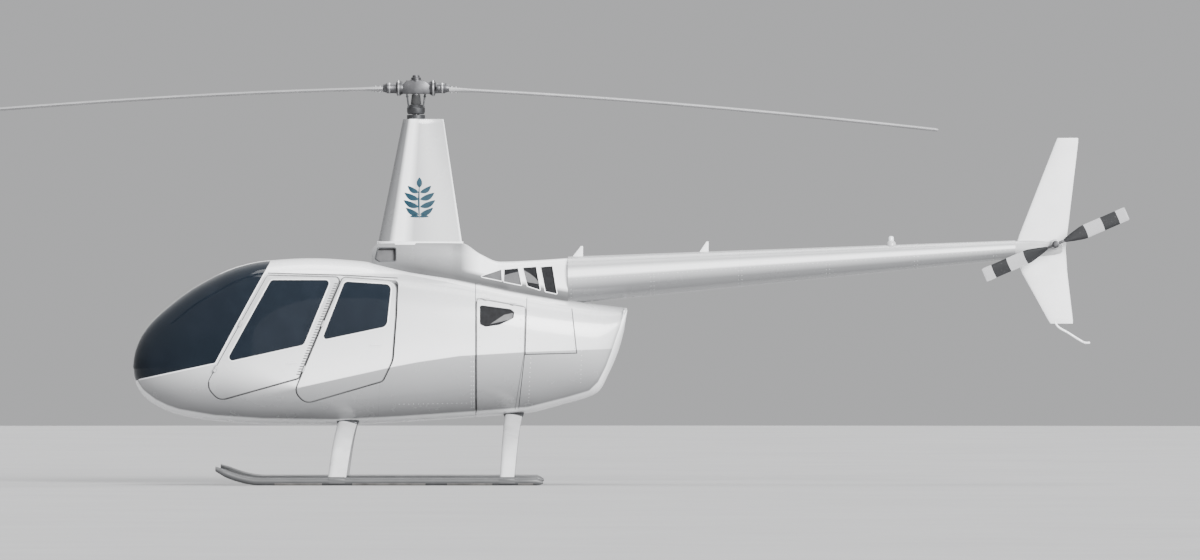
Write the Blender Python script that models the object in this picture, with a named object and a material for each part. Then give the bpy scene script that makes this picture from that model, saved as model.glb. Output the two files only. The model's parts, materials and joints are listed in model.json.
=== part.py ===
"""Light five-seat turbine helicopter on skids, parked with its doors closed.

The nose points along -X and the port side faces -Y. Z is zero at the underside of the skids.
Shapes are drawn with x measured aft from the main mast, and placed at MAST_X at the end.
"""

import math

import bmesh
import bpy
import numpy as np
from mathutils import Matrix, Vector
from mathutils.bvhtree import BVHTree

# Rotor and reach, metres.
MAIN_RADIUS = 4.88
MAIN_CHORD = 0.254
TAIL_RADIUS = 0.726
TAIL_CHORD = 0.13
TAIL_HUB_X = 5.972
TAIL_HUB_Z = 2.239
TAIL_ROTOR_Y = -0.20
TAIL_PARK_DEG = 23.5
TAIL_SHAFT_REACH = 0.056
REAR_REACH = (
    TAIL_HUB_X
    + TAIL_RADIUS * math.cos(math.radians(TAIL_PARK_DEG))
    + TAIL_CHORD / 2 * math.sin(math.radians(TAIL_PARK_DEG))
)
MAST_X = (MAIN_RADIUS - REAR_REACH) / 2

# Body shell and doors.
NOSE_X = -2.645
TAIL_X = 1.972
WALL = 0.05
DOOR_THICK = 0.022
DOOR_SEAM = 0.006
LOWER_SEAM = 0.010
REAR_SEAM = 0.014
CLEAR_STEP = 0.0005
RABBET = 0.035
RIM = 0.025
DOOR_INNER_Y = 0.20
COWL_DOOR_INNER_Y = 0.27
ACCESS_INNER_Y = 0.40
GLASS_DEPTH = (0.003, 0.009)
SEAT_GAP = 0.0003
CABIN_FLOOR_Z = 0.74
BAY_FLOOR_Z = 0.80
BULKHEAD_X = 0.16
FRAME_X = 0.561
SIDES = 24
INNER_END_X = 1.88
SPLIT_Z = 1.166
FRONT_LIMIT_X = -3.0
BELOW_Z, ABOVE_Z = 0.3, 2.4
LIGHT_Z = 0.86
LIGHT_RADIUS = 0.065
LIGHT_DEPTH = 0.02

# Hinges.
HINGE_LOW_Z = 1.08
HINGE_HIGH_Z = 1.50
HINGE_PROUD = {"front": 0.011, "rear": 0.006, "cowl": 0.004}
KNUCKLE_RADIUS = {"front": 0.016, "rear": 0.009, "cowl": 0.013}
KNUCKLE_LENGTH = 0.03
KNUCKLE_SPACE = 0.0012
KNUCKLE_NOTCH = 0.0055
NOTCH_LENGTH = 0.044
BRACKET_FRONT = 0.0055
BRACKET_REAR = 0.0005
BRACKET_FOOT = 0.025
COWL_HINGE_SHARES = (0.2, 0.75)

# Engine bay.
EXHAUST_RADIUS = 0.10
EXHAUST_WALL = 0.012
ENGINE_FRONT_X = 0.60
ENGINE_REAR_X = 1.30
ENGINE_Z = 1.14
EXHAUST_START = (1.25, 0.0, 1.16)
EXHAUST_END = (2.0, 0.0, 0.96)
COWL_WALL = 0.02

# Landing gear.
SKID_RADIUS = 0.0375
SKID_SIDES = 12
SKID_Z = SKID_RADIUS * math.cos(math.pi / SKID_SIDES)
SKID_Y = 1.06
SKID_FRONT_X = -1.43
SKID_REAR_X = 1.13
SKID_TIP_X = 1.192
TOE_X = -1.85
TOE_RISE = 0.117
LEG_BOW = 0.075

# Mast, fairing and hub.
MAST_RADIUS = 0.033
GEARBOX_TOP_Z = 2.2
FAIRING_BASE_Z = 2.252
FAIRING_TOP_Z = 3.411
FAIRING_BORE = 0.05
HUB_Z = 3.70
HUB_UNDERSIDE_Z = HUB_Z - 0.045
MAST_TOP_Z = HUB_Z - 0.0205
SHAFT_SIDES = 16
SWASH_SIDES = 20
BLADE_ROOT_R = 0.31
TIP_DROOP = 0.332
DROOP_POWER = 1.47
REST_TILT_DEG = 0.66

# Tail.
CONE_FRONT_X = 1.42
CONE_REAR_X = 5.60
BEACON_X = 4.44
BOSS_RADIUS = 0.05
YOKE_REACH = 0.085
FIN_SPLIT_Z = 2.20


def clear_scene():
    """Remove what a new file holds."""
    for item in list(bpy.data.objects):
        bpy.data.objects.remove(item, do_unlink=True)


def smooth_curve(points):
    """Return z(x) through the points, with no overshoot between them."""
    xs, zs = (np.array(column, dtype=float) for column in zip(*points))
    steps = np.diff(xs)
    slopes = np.diff(zs) / steps
    tangents = np.zeros_like(xs)
    tangents[0], tangents[-1] = slopes[0], slopes[-1]
    for i in range(1, len(xs) - 1):
        before, after = slopes[i - 1], slopes[i]
        if before * after > 0:
            weight_a = 2 * steps[i] + steps[i - 1]
            weight_b = steps[i] + 2 * steps[i - 1]
            tangents[i] = (weight_a + weight_b) / (weight_a / before + weight_b / after)

    def value(x):
        i = int(np.clip(np.searchsorted(xs, x) - 1, 0, len(steps) - 1))
        t = min(max((x - xs[i]) / steps[i], 0.0), 1.0)
        low = zs[i] * (1 + 2 * t) * (1 - t) ** 2 + tangents[i] * steps[i] * t * (1 - t) ** 2
        high = zs[i + 1] * t * t * (3 - 2 * t) + tangents[i + 1] * steps[i] * t * t * (t - 1)
        return float(low + high)

    return value


def from_nose(points):
    """As smooth_curve, but round at the nose: it is drawn over the root of the distance from it."""
    curve = smooth_curve([(math.sqrt(x - NOSE_X), z) for x, z in points])
    return lambda x: curve(math.sqrt(max(x - NOSE_X, 0.0)))


body_top = from_nose([
    (NOSE_X, 1.09), (-2.542, 1.421), (-2.318, 1.654), (-1.981, 1.888), (-1.645, 2.037),
    (-1.421, 2.084), (-0.972, 2.110), (-0.523, 2.084), (-0.10, 2.00), (0.505, 1.90),
    (1.346, 1.73), (TAIL_X, 1.645),
])
body_bottom = from_nose([
    (NOSE_X, 1.09), (-2.542, 0.822), (-2.43, 0.738), (-2.206, 0.645), (-1.869, 0.589),
    (-1.421, 0.561), (-0.748, 0.551), (-0.15, 0.579), (0.56, 0.626), (1.047, 0.664),
    (1.383, 0.748), (1.607, 0.813), (1.70, 0.86), (1.83, 1.093), (1.944, 1.43), (TAIL_X, 1.60),
])
body_half_width = from_nose([
    (NOSE_X, 0.0), (-2.40, 0.38), (-2.0, 0.58), (-1.5, 0.70), (-0.9, 0.735), (-0.3, 0.73),
    (0.2, 0.70), (0.6, 0.66), (1.0, 0.60), (1.5, 0.50), (TAIL_X, 0.38),
])
widest_share = smooth_curve([(NOSE_X, 0.45), (-1.1, 0.39), (0.0, 0.47), (1.0, 0.56), (TAIL_X, 0.5)])
top_power = smooth_curve([(NOSE_X, 2.0), (-2.0, 2.4), (-1.2, 3.2), (1.0, 3.5), (TAIL_X, 3.0)])
bottom_power = smooth_curve([
    (NOSE_X, 2.0), (-2.0, 2.9), (-1.2, 3.1), (-0.3, 2.8), (1.0, 2.3), (TAIL_X, 2.2),
])


def oval_point(power, angle):
    """A point of the unit superellipse, at an angle from its widest side."""
    across, up = abs(math.cos(angle)), abs(math.sin(angle))
    reach = (across**power + up**power) ** (-1 / power)
    return reach * math.cos(angle), reach * math.sin(angle)


def body_section(x):
    """Points round the body at x, from the starboard side over the top."""
    bottom, top = body_bottom(x), body_top(x)
    widest = bottom + (top - bottom) * widest_share(x)
    points = []
    for i in range(SIDES):
        angle = 2 * math.pi * i / SIDES
        upper = i <= SIDES // 2
        across, up = oval_point(top_power(x) if upper else bottom_power(x), angle)
        height = top - widest if upper else widest - bottom
        points.append(Vector((x, body_half_width(x) * across, widest + height * up)))
    return points


def body_stations():
    """Where the body's sections lie: close together at the nose and the rear."""
    nose = [NOSE_X + (0.135 * i) ** 2 for i in range(1, 8)]
    middle = [float(x) for x in np.linspace(-1.5, 1.6, 12)]
    return nose + middle + [1.70, 1.80, 1.87, 1.93, TAIL_X]


def loft(mesh, rings, close_first=True, close_last=True):
    """Add a skin over rings of equal count, with triangles on its sides and flat ends."""
    rows = [[mesh.verts.new(point) for point in ring] for ring in rings]
    count = len(rows[0])
    for near, far in zip(rows, rows[1:]):
        for i in range(count):
            j = (i + 1) % count
            mesh.faces.new((near[i], near[j], far[j]))
            mesh.faces.new((near[i], far[j], far[i]))
    if close_first:
        mesh.faces.new(rows[0])
    if close_last:
        mesh.faces.new(rows[-1])
    return rows


def solid(name, mesh):
    """Make an object of a closed bmesh, with its faces pointing out."""
    bmesh.ops.recalc_face_normals(mesh, faces=mesh.faces)
    data = bpy.data.meshes.new(name)
    mesh.to_mesh(data)
    mesh.free()
    item = bpy.data.objects.new(name, data)
    bpy.context.collection.objects.link(item)
    return item


def body_solid(depth, name="body_form"):
    """The body's whole form, with its surface moved in by depth."""
    mesh = bmesh.new()
    stations = body_stations()
    if depth > 0.001:
        stations = [x for x in stations if x <= INNER_END_X]
    rows = loft(mesh, [body_section(x) for x in stations], close_first=False)
    nose = mesh.verts.new((NOSE_X, 0.0, body_top(NOSE_X)))
    for i in range(SIDES):
        mesh.faces.new((nose, rows[0][(i + 1) % SIDES], rows[0][i]))
    bmesh.ops.recalc_face_normals(mesh, faces=mesh.faces)
    mesh.normal_update()
    moves = [(vertex, vertex.normal * depth) for vertex in mesh.verts]
    for vertex, move in moves:
        vertex.co -= move
    return solid(name, mesh)


def rounded(corners, steps=3):
    """An outline from (x, z, radius) corners, each rounded by an arc."""
    outline = []
    count = len(corners)
    for i, (x, z, radius) in enumerate(corners):
        corner = Vector((x, z))
        before = Vector(corners[i - 1][:2]) - corner
        after = Vector(corners[(i + 1) % count][:2]) - corner
        if radius == 0:
            outline.append(corner)
            continue
        half = before.angle(after) / 2
        reach = radius / math.tan(half)
        centre = corner + (before.normalized() + after.normalized()).normalized() * radius / math.sin(half)
        start = corner + before.normalized() * reach - centre
        end = corner + after.normalized() * reach - centre
        for step in range(steps + 1):
            share = step / steps
            spoke = start.slerp(end, share) if start.angle(end) > 0.001 else start
            outline.append(centre + spoke.normalized() * radius)
    return outline


def grown(outline, distance):
    """The outline moved outwards by a distance."""
    count = len(outline)
    area = sum(
        outline[i - 1].x * outline[i].y - outline[i].x * outline[i - 1].y for i in range(count)
    )
    turn = 1 if area > 0 else -1
    moved = []
    for i, point in enumerate(outline):
        before = (point - outline[i - 1]).normalized()
        after = (outline[(i + 1) % count] - point).normalized()
        normal_a = Vector((before.y, -before.x)) * turn
        normal_b = Vector((after.y, -after.x)) * turn
        moved.append(point + (normal_a + normal_b) * distance / (1 + normal_a.dot(normal_b)))
    return moved


def edged(corners, distances):
    """The corners with each side moved out by its own distance, the first side following corner 0."""
    count = len(corners)
    area = sum(
        corners[i - 1][0] * corners[i][1] - corners[i][0] * corners[i - 1][1] for i in range(count)
    )
    turn = 1 if area > 0 else -1
    sides = []
    for i, distance in enumerate(distances):
        start, end = Vector(corners[i][:2]), Vector(corners[(i + 1) % count][:2])
        along = (end - start).normalized()
        out = Vector((along.y, -along.x)) * turn * distance
        sides.append((start + out, end + out))
    moved = []
    for i, corner in enumerate(corners):
        crossing = crossing_of(sides[i - 1], sides[i])
        radius = corner[2] and max(corner[2] + min(distances[i - 1], distances[i]), 0.015)
        moved.append((crossing.x, crossing.y, radius))
    return moved


def crossing_of(side_a, side_b):
    """Where two endless lines cross in side view."""
    point, along = side_a[0], side_a[1] - side_a[0]
    other, across = side_b[0], side_b[1] - side_b[0]
    share = (other - point).cross(across) / along.cross(across)
    return point + along * share


def prism(outline, low, high, axis="Y", name="cutter"):
    """A solid drawn in side view and run across from low to high, or in front view along X."""
    mesh = bmesh.new()
    ends = []
    for depth in (low, high):
        if axis == "Y":
            ring = [(point[0], depth, point[1]) for point in outline]
        elif axis == "X":
            ring = [(depth, point[0], point[1]) for point in outline]
        else:
            ring = [(point[0], point[1], depth) for point in outline]
        ends.append([mesh.verts.new(place) for place in ring])
    for end in ends:
        mesh.faces.new(end)
    count = len(outline)
    for i in range(count):
        j = (i + 1) % count
        mesh.faces.new((ends[0][i], ends[0][j], ends[1][j], ends[1][i]))
    return solid(name, mesh)


def block(low, high, name="block"):
    """A box between two corners."""
    outline = [(low[0], low[2]), (high[0], low[2]), (high[0], high[2]), (low[0], high[2])]
    return prism(outline, low[1], high[1], name=name)


def sweep(path, sections, name):
    """A solid through sections, each a list of (side, up) points set square to the path."""
    mesh = bmesh.new()
    rings = []
    for i, (place, section) in enumerate(zip(path, sections)):
        before = path[max(i - 1, 0)]
        after = path[min(i + 1, len(path) - 1)]
        along = (after - before).normalized()
        guide = Vector((1, 0, 0)) if abs(along.x) < 0.9 else Vector((0, 1, 0))
        up = along.cross(guide).normalized()
        side = up.cross(along).normalized()
        rings.append([place + side * a + up * b for a, b in section])
    loft(mesh, rings)
    return solid(name, mesh)


def circle(radius, sides=12, turn=0.5, flat=1.0):
    """Points of a circle or, with flat below 1, of an ellipse."""
    step = 2 * math.pi / sides
    return [
        (radius * math.cos((i + turn) * step), radius * flat * math.sin((i + turn) * step))
        for i in range(sides)
    ]


def turned(profile, centre, sides=16, name="turned", axis="Z"):
    """A solid turned about Z or Y, from (radius, height) points, listed from one end to the other."""
    mesh = bmesh.new()
    rings = []
    for radius, height in profile:
        ring = circle(radius, sides)
        if axis == "Z":
            rings.append([Vector(centre) + Vector((a, b, height)) for a, b in ring])
        elif axis == "Y":
            rings.append([Vector(centre) + Vector((a, height, b)) for a, b in ring])
        else:
            rings.append([Vector(centre) + Vector((height, a, b)) for a, b in ring])
    loft(mesh, rings)
    return solid(name, mesh)


def combine(item, other, operation, keep=False):
    """Cut, join or intersect an object with another, and remove the other one."""
    modifier = item.modifiers.new(operation.lower(), "BOOLEAN")
    modifier.operation = operation
    modifier.solver = "EXACT"
    modifier.object = other
    result = bpy.data.meshes.new_from_object(item.evaluated_get(bpy.context.evaluated_depsgraph_get()))
    item.modifiers.remove(modifier)
    old = item.data
    item.data = result
    bpy.data.meshes.remove(old)
    if not keep:
        bpy.data.objects.remove(other, do_unlink=True)
    return item


def cut(item, other, keep=False):
    """Take the other shape out of an item."""
    return combine(item, other, "DIFFERENCE", keep)


def join(item, other, keep=False):
    """Add the other shape to an item."""
    return combine(item, other, "UNION", keep)


def common(item, other, keep=False):
    """Keep what an item and the other shape share."""
    return combine(item, other, "INTERSECT", keep)


def named(item, name):
    """Give a finished shape its name."""
    item.name = name
    item.data.name = name
    return item


# Openings and seams in side view. A third value is a corner's radius.
WINDSHIELD = [
    (-1.36, 2.4, 0), (-1.36, 2.066, 0), (-1.854, 1.136, 0.07), (-2.9, 0.905, 0), (-2.9, 2.4, 0),
]
FRONT_DOOR = [
    (-1.374, 1.953, 0.04), (-1.948, 0.919, 0.11), (-1.826, 0.784, 0.10), (-1.081, 0.993, 0.04),
    (-0.687, 1.935, 0.04),
]
FRONT_WINDOW = [
    (-1.318, 1.908, 0.05), (-1.762, 1.136, 0.05), (-1.023, 1.308, 0.06), (-0.775, 1.908, 0.05),
]
REAR_DOOR = [
    (-0.676, 1.935, 0.04), (-1.122, 0.869, 0.10), (-1.02, 0.757, 0.10), (-0.302, 0.966, 0.06),
    (-0.212, 1.154, 0.2), (-0.181, 1.570, 0), (-0.169, 1.897, 0.09),
]
REAR_FRAME = REAR_DOOR[:-1] + [(-0.169, 1.897, 0.035)]
REAR_WINDOW = [
    (-0.650, 1.897, 0.04), (-0.871, 1.348, 0.04), (-0.262, 1.477, 0.05), (-0.219, 1.860, 0.05),
]
COWL_DOOR = [
    (0.570, 1.740, 0.04), (0.570, 0.3, 0), (0.912, 0.3, 0), (1.016, 1.215, 0), (1.028, 1.656, 0.04),
]
ACCESS_PANEL = [
    (1.037, 1.64, 0), (1.025, 1.212, 0), (1.505, 1.224, 0), (1.452, 1.70, 0), (1.442, 1.9, 0),
    (1.04, 1.9, 0),
]
MIDDLE_SEAM = [
    (-0.197, 2.4), (-0.197, 1.897), (-0.209, 1.570), (-0.240, 1.150), (-0.330, 0.955), (-0.36, 0.3),
]
CAVITY_FLOOR = [
    (-2.9, CABIN_FLOOR_Z), (BULKHEAD_X, CABIN_FLOOR_Z), (BULKHEAD_X + 0.04, BAY_FLOOR_Z),
    (1.40, BAY_FLOOR_Z), (1.75, 1.05), (2.2, 1.05), (2.2, 2.4), (-2.9, 2.4),
]
VENT = [
    (0.600, 1.670, 0.02), (0.600, 1.495, 0.03), (0.650, 1.474, 0.02), (0.905, 1.540, 0.03),
    (0.918, 1.611, 0.02), (0.817, 1.659, 0.05),
]
CABIN_DOORS = {"front": (FRONT_DOOR, FRONT_WINDOW), "rear": (REAR_DOOR, REAR_WINDOW)}
PORT, STARBOARD = -1, 1
SIDE_NAMES = {PORT: "left", STARBOARD: "right"}


def side_prism(outline, side, inner=0.02, outer=1.3):
    """An outline in side view, run across one half of the body."""
    low, high = sorted((side * inner, side * outer))
    return prism(outline, low, high)


def cavity(extra=0.0):
    """The hollow inside the body's wall and above its floor."""
    hollow = body_solid(WALL + extra)
    above = prism(grown([Vector(point) for point in CAVITY_FLOOR], -extra), -1.3, 1.3)
    return common(hollow, above)


def body_shell():
    """The whole hollow body before its seams and openings are cut."""
    return cut(body_solid(0.0), cavity())


def rabbet_cut(item, pocket_outline, opening, side, inner=0.02):
    """Cut a door's pocket in the skin, and the smaller opening whose rim the door closes on."""
    pocket = side_prism(pocket_outline, side, inner)
    cut(pocket, body_solid(RABBET))
    cut(item, pocket)
    return cut(item, side_prism(opening, side, inner + RIM))


def skin_piece(outline, side, shallow, deep, inner=0.02):
    """The part of the skin inside an outline, between two depths."""
    piece = side_prism(outline, side, inner)
    common(piece, body_solid(shallow))
    return cut(piece, body_solid(deep))


# How far each side of a door's pocket and opening lies outside the door. The hinge side and the top
# have no rim, because the door's upper front corner swings inwards there. The rear door's upper rear
# corner swings aft, so its frame is tighter than the door in that corner.
HINGE_CLEAR = DOOR_SEAM + CLEAR_STEP
LOWER_CLEAR = LOWER_SEAM + CLEAR_STEP
FRONT_POCKET = (DOOR_SEAM, LOWER_SEAM, LOWER_SEAM, DOOR_SEAM, DOOR_SEAM)
FRONT_OPENING = (HINGE_CLEAR, LOWER_CLEAR, -RIM, -RIM, HINGE_CLEAR)
REAR_POCKET = (DOOR_SEAM, LOWER_SEAM, LOWER_SEAM, LOWER_SEAM, REAR_SEAM, REAR_SEAM, DOOR_SEAM)
REAR_OPENING = (HINGE_CLEAR, LOWER_CLEAR, -RIM, -RIM, -RIM, -RIM, HINGE_CLEAR)


def door_openings(item, front=True):
    """Cut the cabin doors' pockets and openings."""
    for side in (PORT, STARBOARD):
        if front:
            pocket, opening = edged(FRONT_DOOR, FRONT_POCKET), edged(FRONT_DOOR, FRONT_OPENING)
            rabbet_cut(item, rounded(pocket), rounded(opening), side, DOOR_INNER_Y)
        pocket, opening = edged(REAR_FRAME, REAR_POCKET), edged(REAR_FRAME, REAR_OPENING)
        rabbet_cut(item, rounded(pocket), rounded(opening), side, DOOR_INNER_Y)
    return item


def cabin_openings(item):
    """Cut the doors' and the windshield's openings."""
    for side in (PORT, STARBOARD):
        cut(item, side_prism(rounded(WINDSHIELD), side))
    return door_openings(item)


def region(item, outline):
    """Keep what lies inside an outline in side view."""
    return common(item, prism(outline, -1.4, 1.4))


def seam_point(z, shift):
    """Where the middle seam passes a height, moved aft by shift."""
    places = sorted((height, x) for x, height in MIDDLE_SEAM)
    return float(np.interp(z, [height for height, _ in places], [x for _, x in places])) + shift, z


def cabin():
    """The nose tub and the roof with its pillars, split just above the windshield's lower edge."""
    half = SEAT_GAP / 2
    seam = [(x - half, z) for x, z in MIDDLE_SEAM]
    upper_seam = [point for point in seam if point[1] > SPLIT_Z]
    lower_seam = [point for point in seam if point[1] < SPLIT_Z]
    nose_end, bend = (FRONT_LIMIT_X, SPLIT_Z - 0.254), (-1.85, SPLIT_Z)
    roof_outline = [(FRONT_LIMIT_X, ABOVE_Z)] + upper_seam + [seam_point(SPLIT_Z, -half), bend, nose_end]
    lowered = [(x, z - SEAT_GAP) for x, z in (nose_end, bend)]
    tub_outline = [seam_point(SPLIT_Z - SEAT_GAP, -half)] + lower_seam
    tub_outline += [(FRONT_LIMIT_X, BELOW_Z)] + lowered
    roof = cabin_openings(region(body_shell(), roof_outline))
    tub = cabin_openings(region(body_shell(), tub_outline))
    cut(tub, landing_light_pocket())
    return [named(roof, "cabin_roof"), named(tub, "nose_tub")]


def light_column(radius):
    """A round column along X at the landing light's place."""
    return prism([(a, LIGHT_Z + b) for a, b in circle(radius, 16)], FRONT_LIMIT_X, -2.2, axis="X")


def landing_light_pocket():
    """The round pocket in the nose for the landing light."""
    return cut(light_column(LIGHT_RADIUS), body_solid(LIGHT_DEPTH))


def landing_light():
    """The light's lens and bowl, filling the pocket."""
    lens = common(light_column(LIGHT_RADIUS - SEAT_GAP), body_solid(0.002))
    return named(cut(lens, body_solid(LIGHT_DEPTH - SEAT_GAP)), "landing_light")


def middle_fuselage():
    """The body between the cabin and the engine bay."""
    half = SEAT_GAP / 2
    seam = [(x + half, z) for x, z in MIDDLE_SEAM]
    outline = seam + [(FRAME_X - half, BELOW_Z), (FRAME_X - half, ABOVE_Z)]
    return named(door_openings(region(body_shell(), outline), front=False), "middle_fuselage")


def aft_cowl():
    """The engine bay's lower and rear skin, with the deck over it."""
    half = SEAT_GAP / 2
    rear_limit = TAIL_X + 0.4
    shell = region(body_shell(), [
        (FRAME_X + half, BELOW_Z), (rear_limit, BELOW_Z), (rear_limit, ABOVE_Z), (FRAME_X + half, ABOVE_Z),
    ])
    for side in (PORT, STARBOARD):
        pocket, inset = grown(rounded(COWL_DOOR), DOOR_SEAM), grown(rounded(COWL_DOOR), -RIM)
        opening = [Vector((point.x, max(point.y, BAY_FLOOR_Z + RIM))) for point in inset]
        rabbet_cut(shell, pocket, opening, side, COWL_DOOR_INNER_Y)
        cut(shell, side_prism(grown(rounded(ACCESS_PANEL), SEAT_GAP), side, ACCESS_INNER_Y))
    cut(shell, exhaust_solid(EXHAUST_RADIUS + SEAT_GAP))
    return named(shell, "aft_cowl")


def exhaust_solid(radius):
    """A round form along the exhaust's line."""
    path = [Vector(EXHAUST_START), Vector(EXHAUST_END)]
    return sweep(path, [circle(radius, 16)] * 2, "exhaust")


def exhaust_pipe():
    """The open pipe from the engine to the body's rear face."""
    pipe = common(exhaust_solid(EXHAUST_RADIUS), body_solid(0.0005))
    cut(pipe, block((1.0, -0.3, 0.5), (ENGINE_REAR_X + SEAT_GAP, 0.3, 1.6)))
    bore = exhaust_solid(EXHAUST_RADIUS - EXHAUST_WALL)
    common(bore, block((ENGINE_REAR_X + 0.05, -0.3, 0.5), (2.4, 0.3, 1.6)))
    return named(cut(pipe, bore), "exhaust_pipe")


def access_panels():
    """The panels behind the cowl doors, as thick as the wall."""
    pieces = []
    for side in (PORT, STARBOARD):
        panel = side_prism(rounded(ACCESS_PANEL), side, ACCESS_INNER_Y + SEAT_GAP)
        common(panel, body_shell())
        pieces.append(named(panel, f"access_panel_{SIDE_NAMES[side]}"))
    return pieces


def windshields():
    """The windshield's two halves."""
    pieces = []
    for side in (PORT, STARBOARD):
        outline = grown(rounded(WINDSHIELD), -SEAT_GAP)
        pane = skin_piece(outline, side, *GLASS_DEPTH, inner=0.02 + SEAT_GAP)
        pieces.append(named(pane, f"windshield_{SIDE_NAMES[side]}"))
    return pieces


def cabin_door(name, outline, window, side):
    """A door panel with its window cut, and the pane that fills it."""
    panel = skin_piece(outline, side, 0.0, DOOR_THICK, DOOR_INNER_Y)
    cut(panel, side_prism(window, side, DOOR_INNER_Y))
    pane = skin_piece(grown(window, -SEAT_GAP), side, *GLASS_DEPTH, inner=DOOR_INNER_Y)
    label = SIDE_NAMES[side]
    return named(panel, f"{name}_door_{label}"), named(pane, f"{name}_window_{label}")


def skin_tree():
    """The body's surface, for finding points on it."""
    form = body_solid(0.0)
    mesh = bmesh.new()
    mesh.from_mesh(form.data)
    tree = BVHTree.FromBMesh(mesh)
    mesh.free()
    bpy.data.objects.remove(form, do_unlink=True)
    return tree


def skin_y(tree, x, z):
    """How far out the skin lies at a place in side view."""
    hit = tree.ray_cast(Vector((x, 2.0, z)), Vector((0, -1, 0)))[0]
    return hit.y


def hinge_line(tree, name, side):
    """A cabin door's hinge axis: just outside the skin, along the door's front edge."""
    top, bottom = CABIN_DOORS[name][0][:2]

    def on_edge(z):
        share = (z - bottom[1]) / (top[1] - bottom[1])
        x = bottom[0] + (top[0] - bottom[0]) * share
        return Vector((x, side * (skin_y(tree, x, z) + HINGE_PROUD[name]), z))

    low, high = on_edge(HINGE_LOW_Z), on_edge(HINGE_HIGH_Z)
    return low, (high - low).normalized()


def cowl_hinge(tree, side):
    """The cowl door's hinge axis: in the seam along its top edge, just outside the skin."""
    ends = []
    for x, z, _ in (COWL_DOOR[0], COWL_DOOR[4]):
        height = z + DOOR_SEAM / 2
        ends.append(Vector((x, side * (skin_y(tree, x, height) + HINGE_PROUD["cowl"]), height)))
    return ends[0], (ends[1] - ends[0]).normalized()


def cowl_door(side):
    """A door of the engine bay, with its vent cut."""
    panel = skin_piece(rounded(COWL_DOOR), side, 0.0, DOOR_THICK, COWL_DOOR_INNER_Y + DOOR_SEAM)
    cut(panel, side_prism(rounded(VENT), side, 0.3))
    return named(panel, f"cowl_door_{SIDE_NAMES[side]}")


def knuckle(point, direction, low, high, radius):
    """A length of round hinge barrel along a hinge line."""
    path = [point + direction * low, point + direction * high]
    return sweep(path, [circle(radius, 10)] * 2, "knuckle")


def hinge(door, frame, point, direction, radius):
    """Give a door and its frame a barrel each on the hinge line, end to end."""
    wide, reach = radius + KNUCKLE_SPACE, KNUCKLE_LENGTH + KNUCKLE_SPACE
    cut(frame, knuckle(point, direction, 0.0, reach, wide))
    cut(door, knuckle(point, direction, -reach, 0.0, wide))
    join(door, knuckle(point, direction, SEAT_GAP / 2, KNUCKLE_LENGTH, radius))
    join(frame, knuckle(point, direction, -KNUCKLE_LENGTH, -SEAT_GAP / 2, radius))


def post_bracket(frame, point, direction, side):
    """Carry a rear door's fixed barrel out from the door post, in the seam between the doors."""
    along = Vector((direction.x, direction.z)).normalized()
    ahead = Vector((-along.y, along.x))
    start = Vector((point.x, point.z))
    skin = abs(point.y) - HINGE_PROUD["rear"]
    arm = (BRACKET_REAR, BRACKET_FRONT, 0.001, WALL * 0.9, -HINGE_PROUD["rear"])
    foot = (BRACKET_REAR * 3, BRACKET_FOOT, 0.003, WALL * 0.95, RABBET + 0.002)
    for rear, front, trim, inner, outer in (arm, foot):
        low, high = trim - KNUCKLE_LENGTH, -trim
        corners = ((low, rear), (high, rear), (high, front), (low, front))
        outline = [start + along * reach + ahead * width for reach, width in corners]
        join(frame, side_prism(outline, side, skin - inner, skin - outer))


def clearing_notch(door, point, direction, side):
    """Cut a front door's edge clear of the rear door's hinge, through its whole thickness."""
    for inset in (0.0, DOOR_THICK * 0.4, DOOR_THICK * 0.8):
        place_in = point - Vector((0, side * inset, 0))
        radius = KNUCKLE_RADIUS["rear"] + KNUCKLE_NOTCH
        cut(door, knuckle(place_in, direction, -NOTCH_LENGTH, NOTCH_LENGTH, radius))


def hang_cabin_doors(tree, pieces, side):
    """Hinge the front and rear door of one side to the tub below and the pillars above."""
    label = SIDE_NAMES[side]
    for name in CABIN_DOORS:
        low, direction = hinge_line(tree, name, side)
        high = low + direction * ((HINGE_HIGH_Z - HINGE_LOW_Z) / direction.z)
        for point, frame in ((low, pieces["nose_tub"]), (high, pieces["cabin_roof"])):
            if name == "rear":
                post_bracket(frame, point, direction, side)
                clearing_notch(pieces[f"front_door_{label}"], point, direction, side)
            hinge(pieces[f"{name}_door_{label}"], frame, point, direction, KNUCKLE_RADIUS[name])


def hang_cowl_door(tree, pieces, side):
    """Hinge a cowl door along its top edge."""
    front, direction = cowl_hinge(tree, side)
    length = (COWL_DOOR[4][0] - COWL_DOOR[0][0]) / direction.x
    door = pieces[f"cowl_door_{SIDE_NAMES[side]}"]
    for share in COWL_HINGE_SHARES:
        point = front + direction * length * share
        hinge(door, pieces["aft_cowl"], point, direction, KNUCKLE_RADIUS["cowl"])


# The raised cowl that carries the mast fairing and leads into the tailcone.
cowl_top = smooth_curve([
    (-0.411, 2.19), (-0.355, 2.245), (0.0, 2.252), (0.43, 2.250), (0.60, 2.15), (0.785, 2.078),
    (1.10, 2.09), (1.44, 2.112),
])
cowl_foot = smooth_curve([(-0.411, 0.46), (0.0, 0.50), (0.43, 0.42), (0.785, 0.29), (1.44, 0.222)])
cowl_crest = smooth_curve([(-0.411, 0.14), (0.43, 0.12), (0.785, 0.04), (1.44, 0.03)])
cowl_round = smooth_curve([(0.35, 0.0), (0.85, 1.0)])
COWL_STATIONS = (-0.411, -0.38, -0.355, -0.1, 0.2, 0.43, 0.52, 0.65, 0.785, 0.95, 1.2, 1.4195)
COWL_LEVELS = (0.0, 0.22, 0.45, 0.7, 0.9, 1.0)


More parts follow.
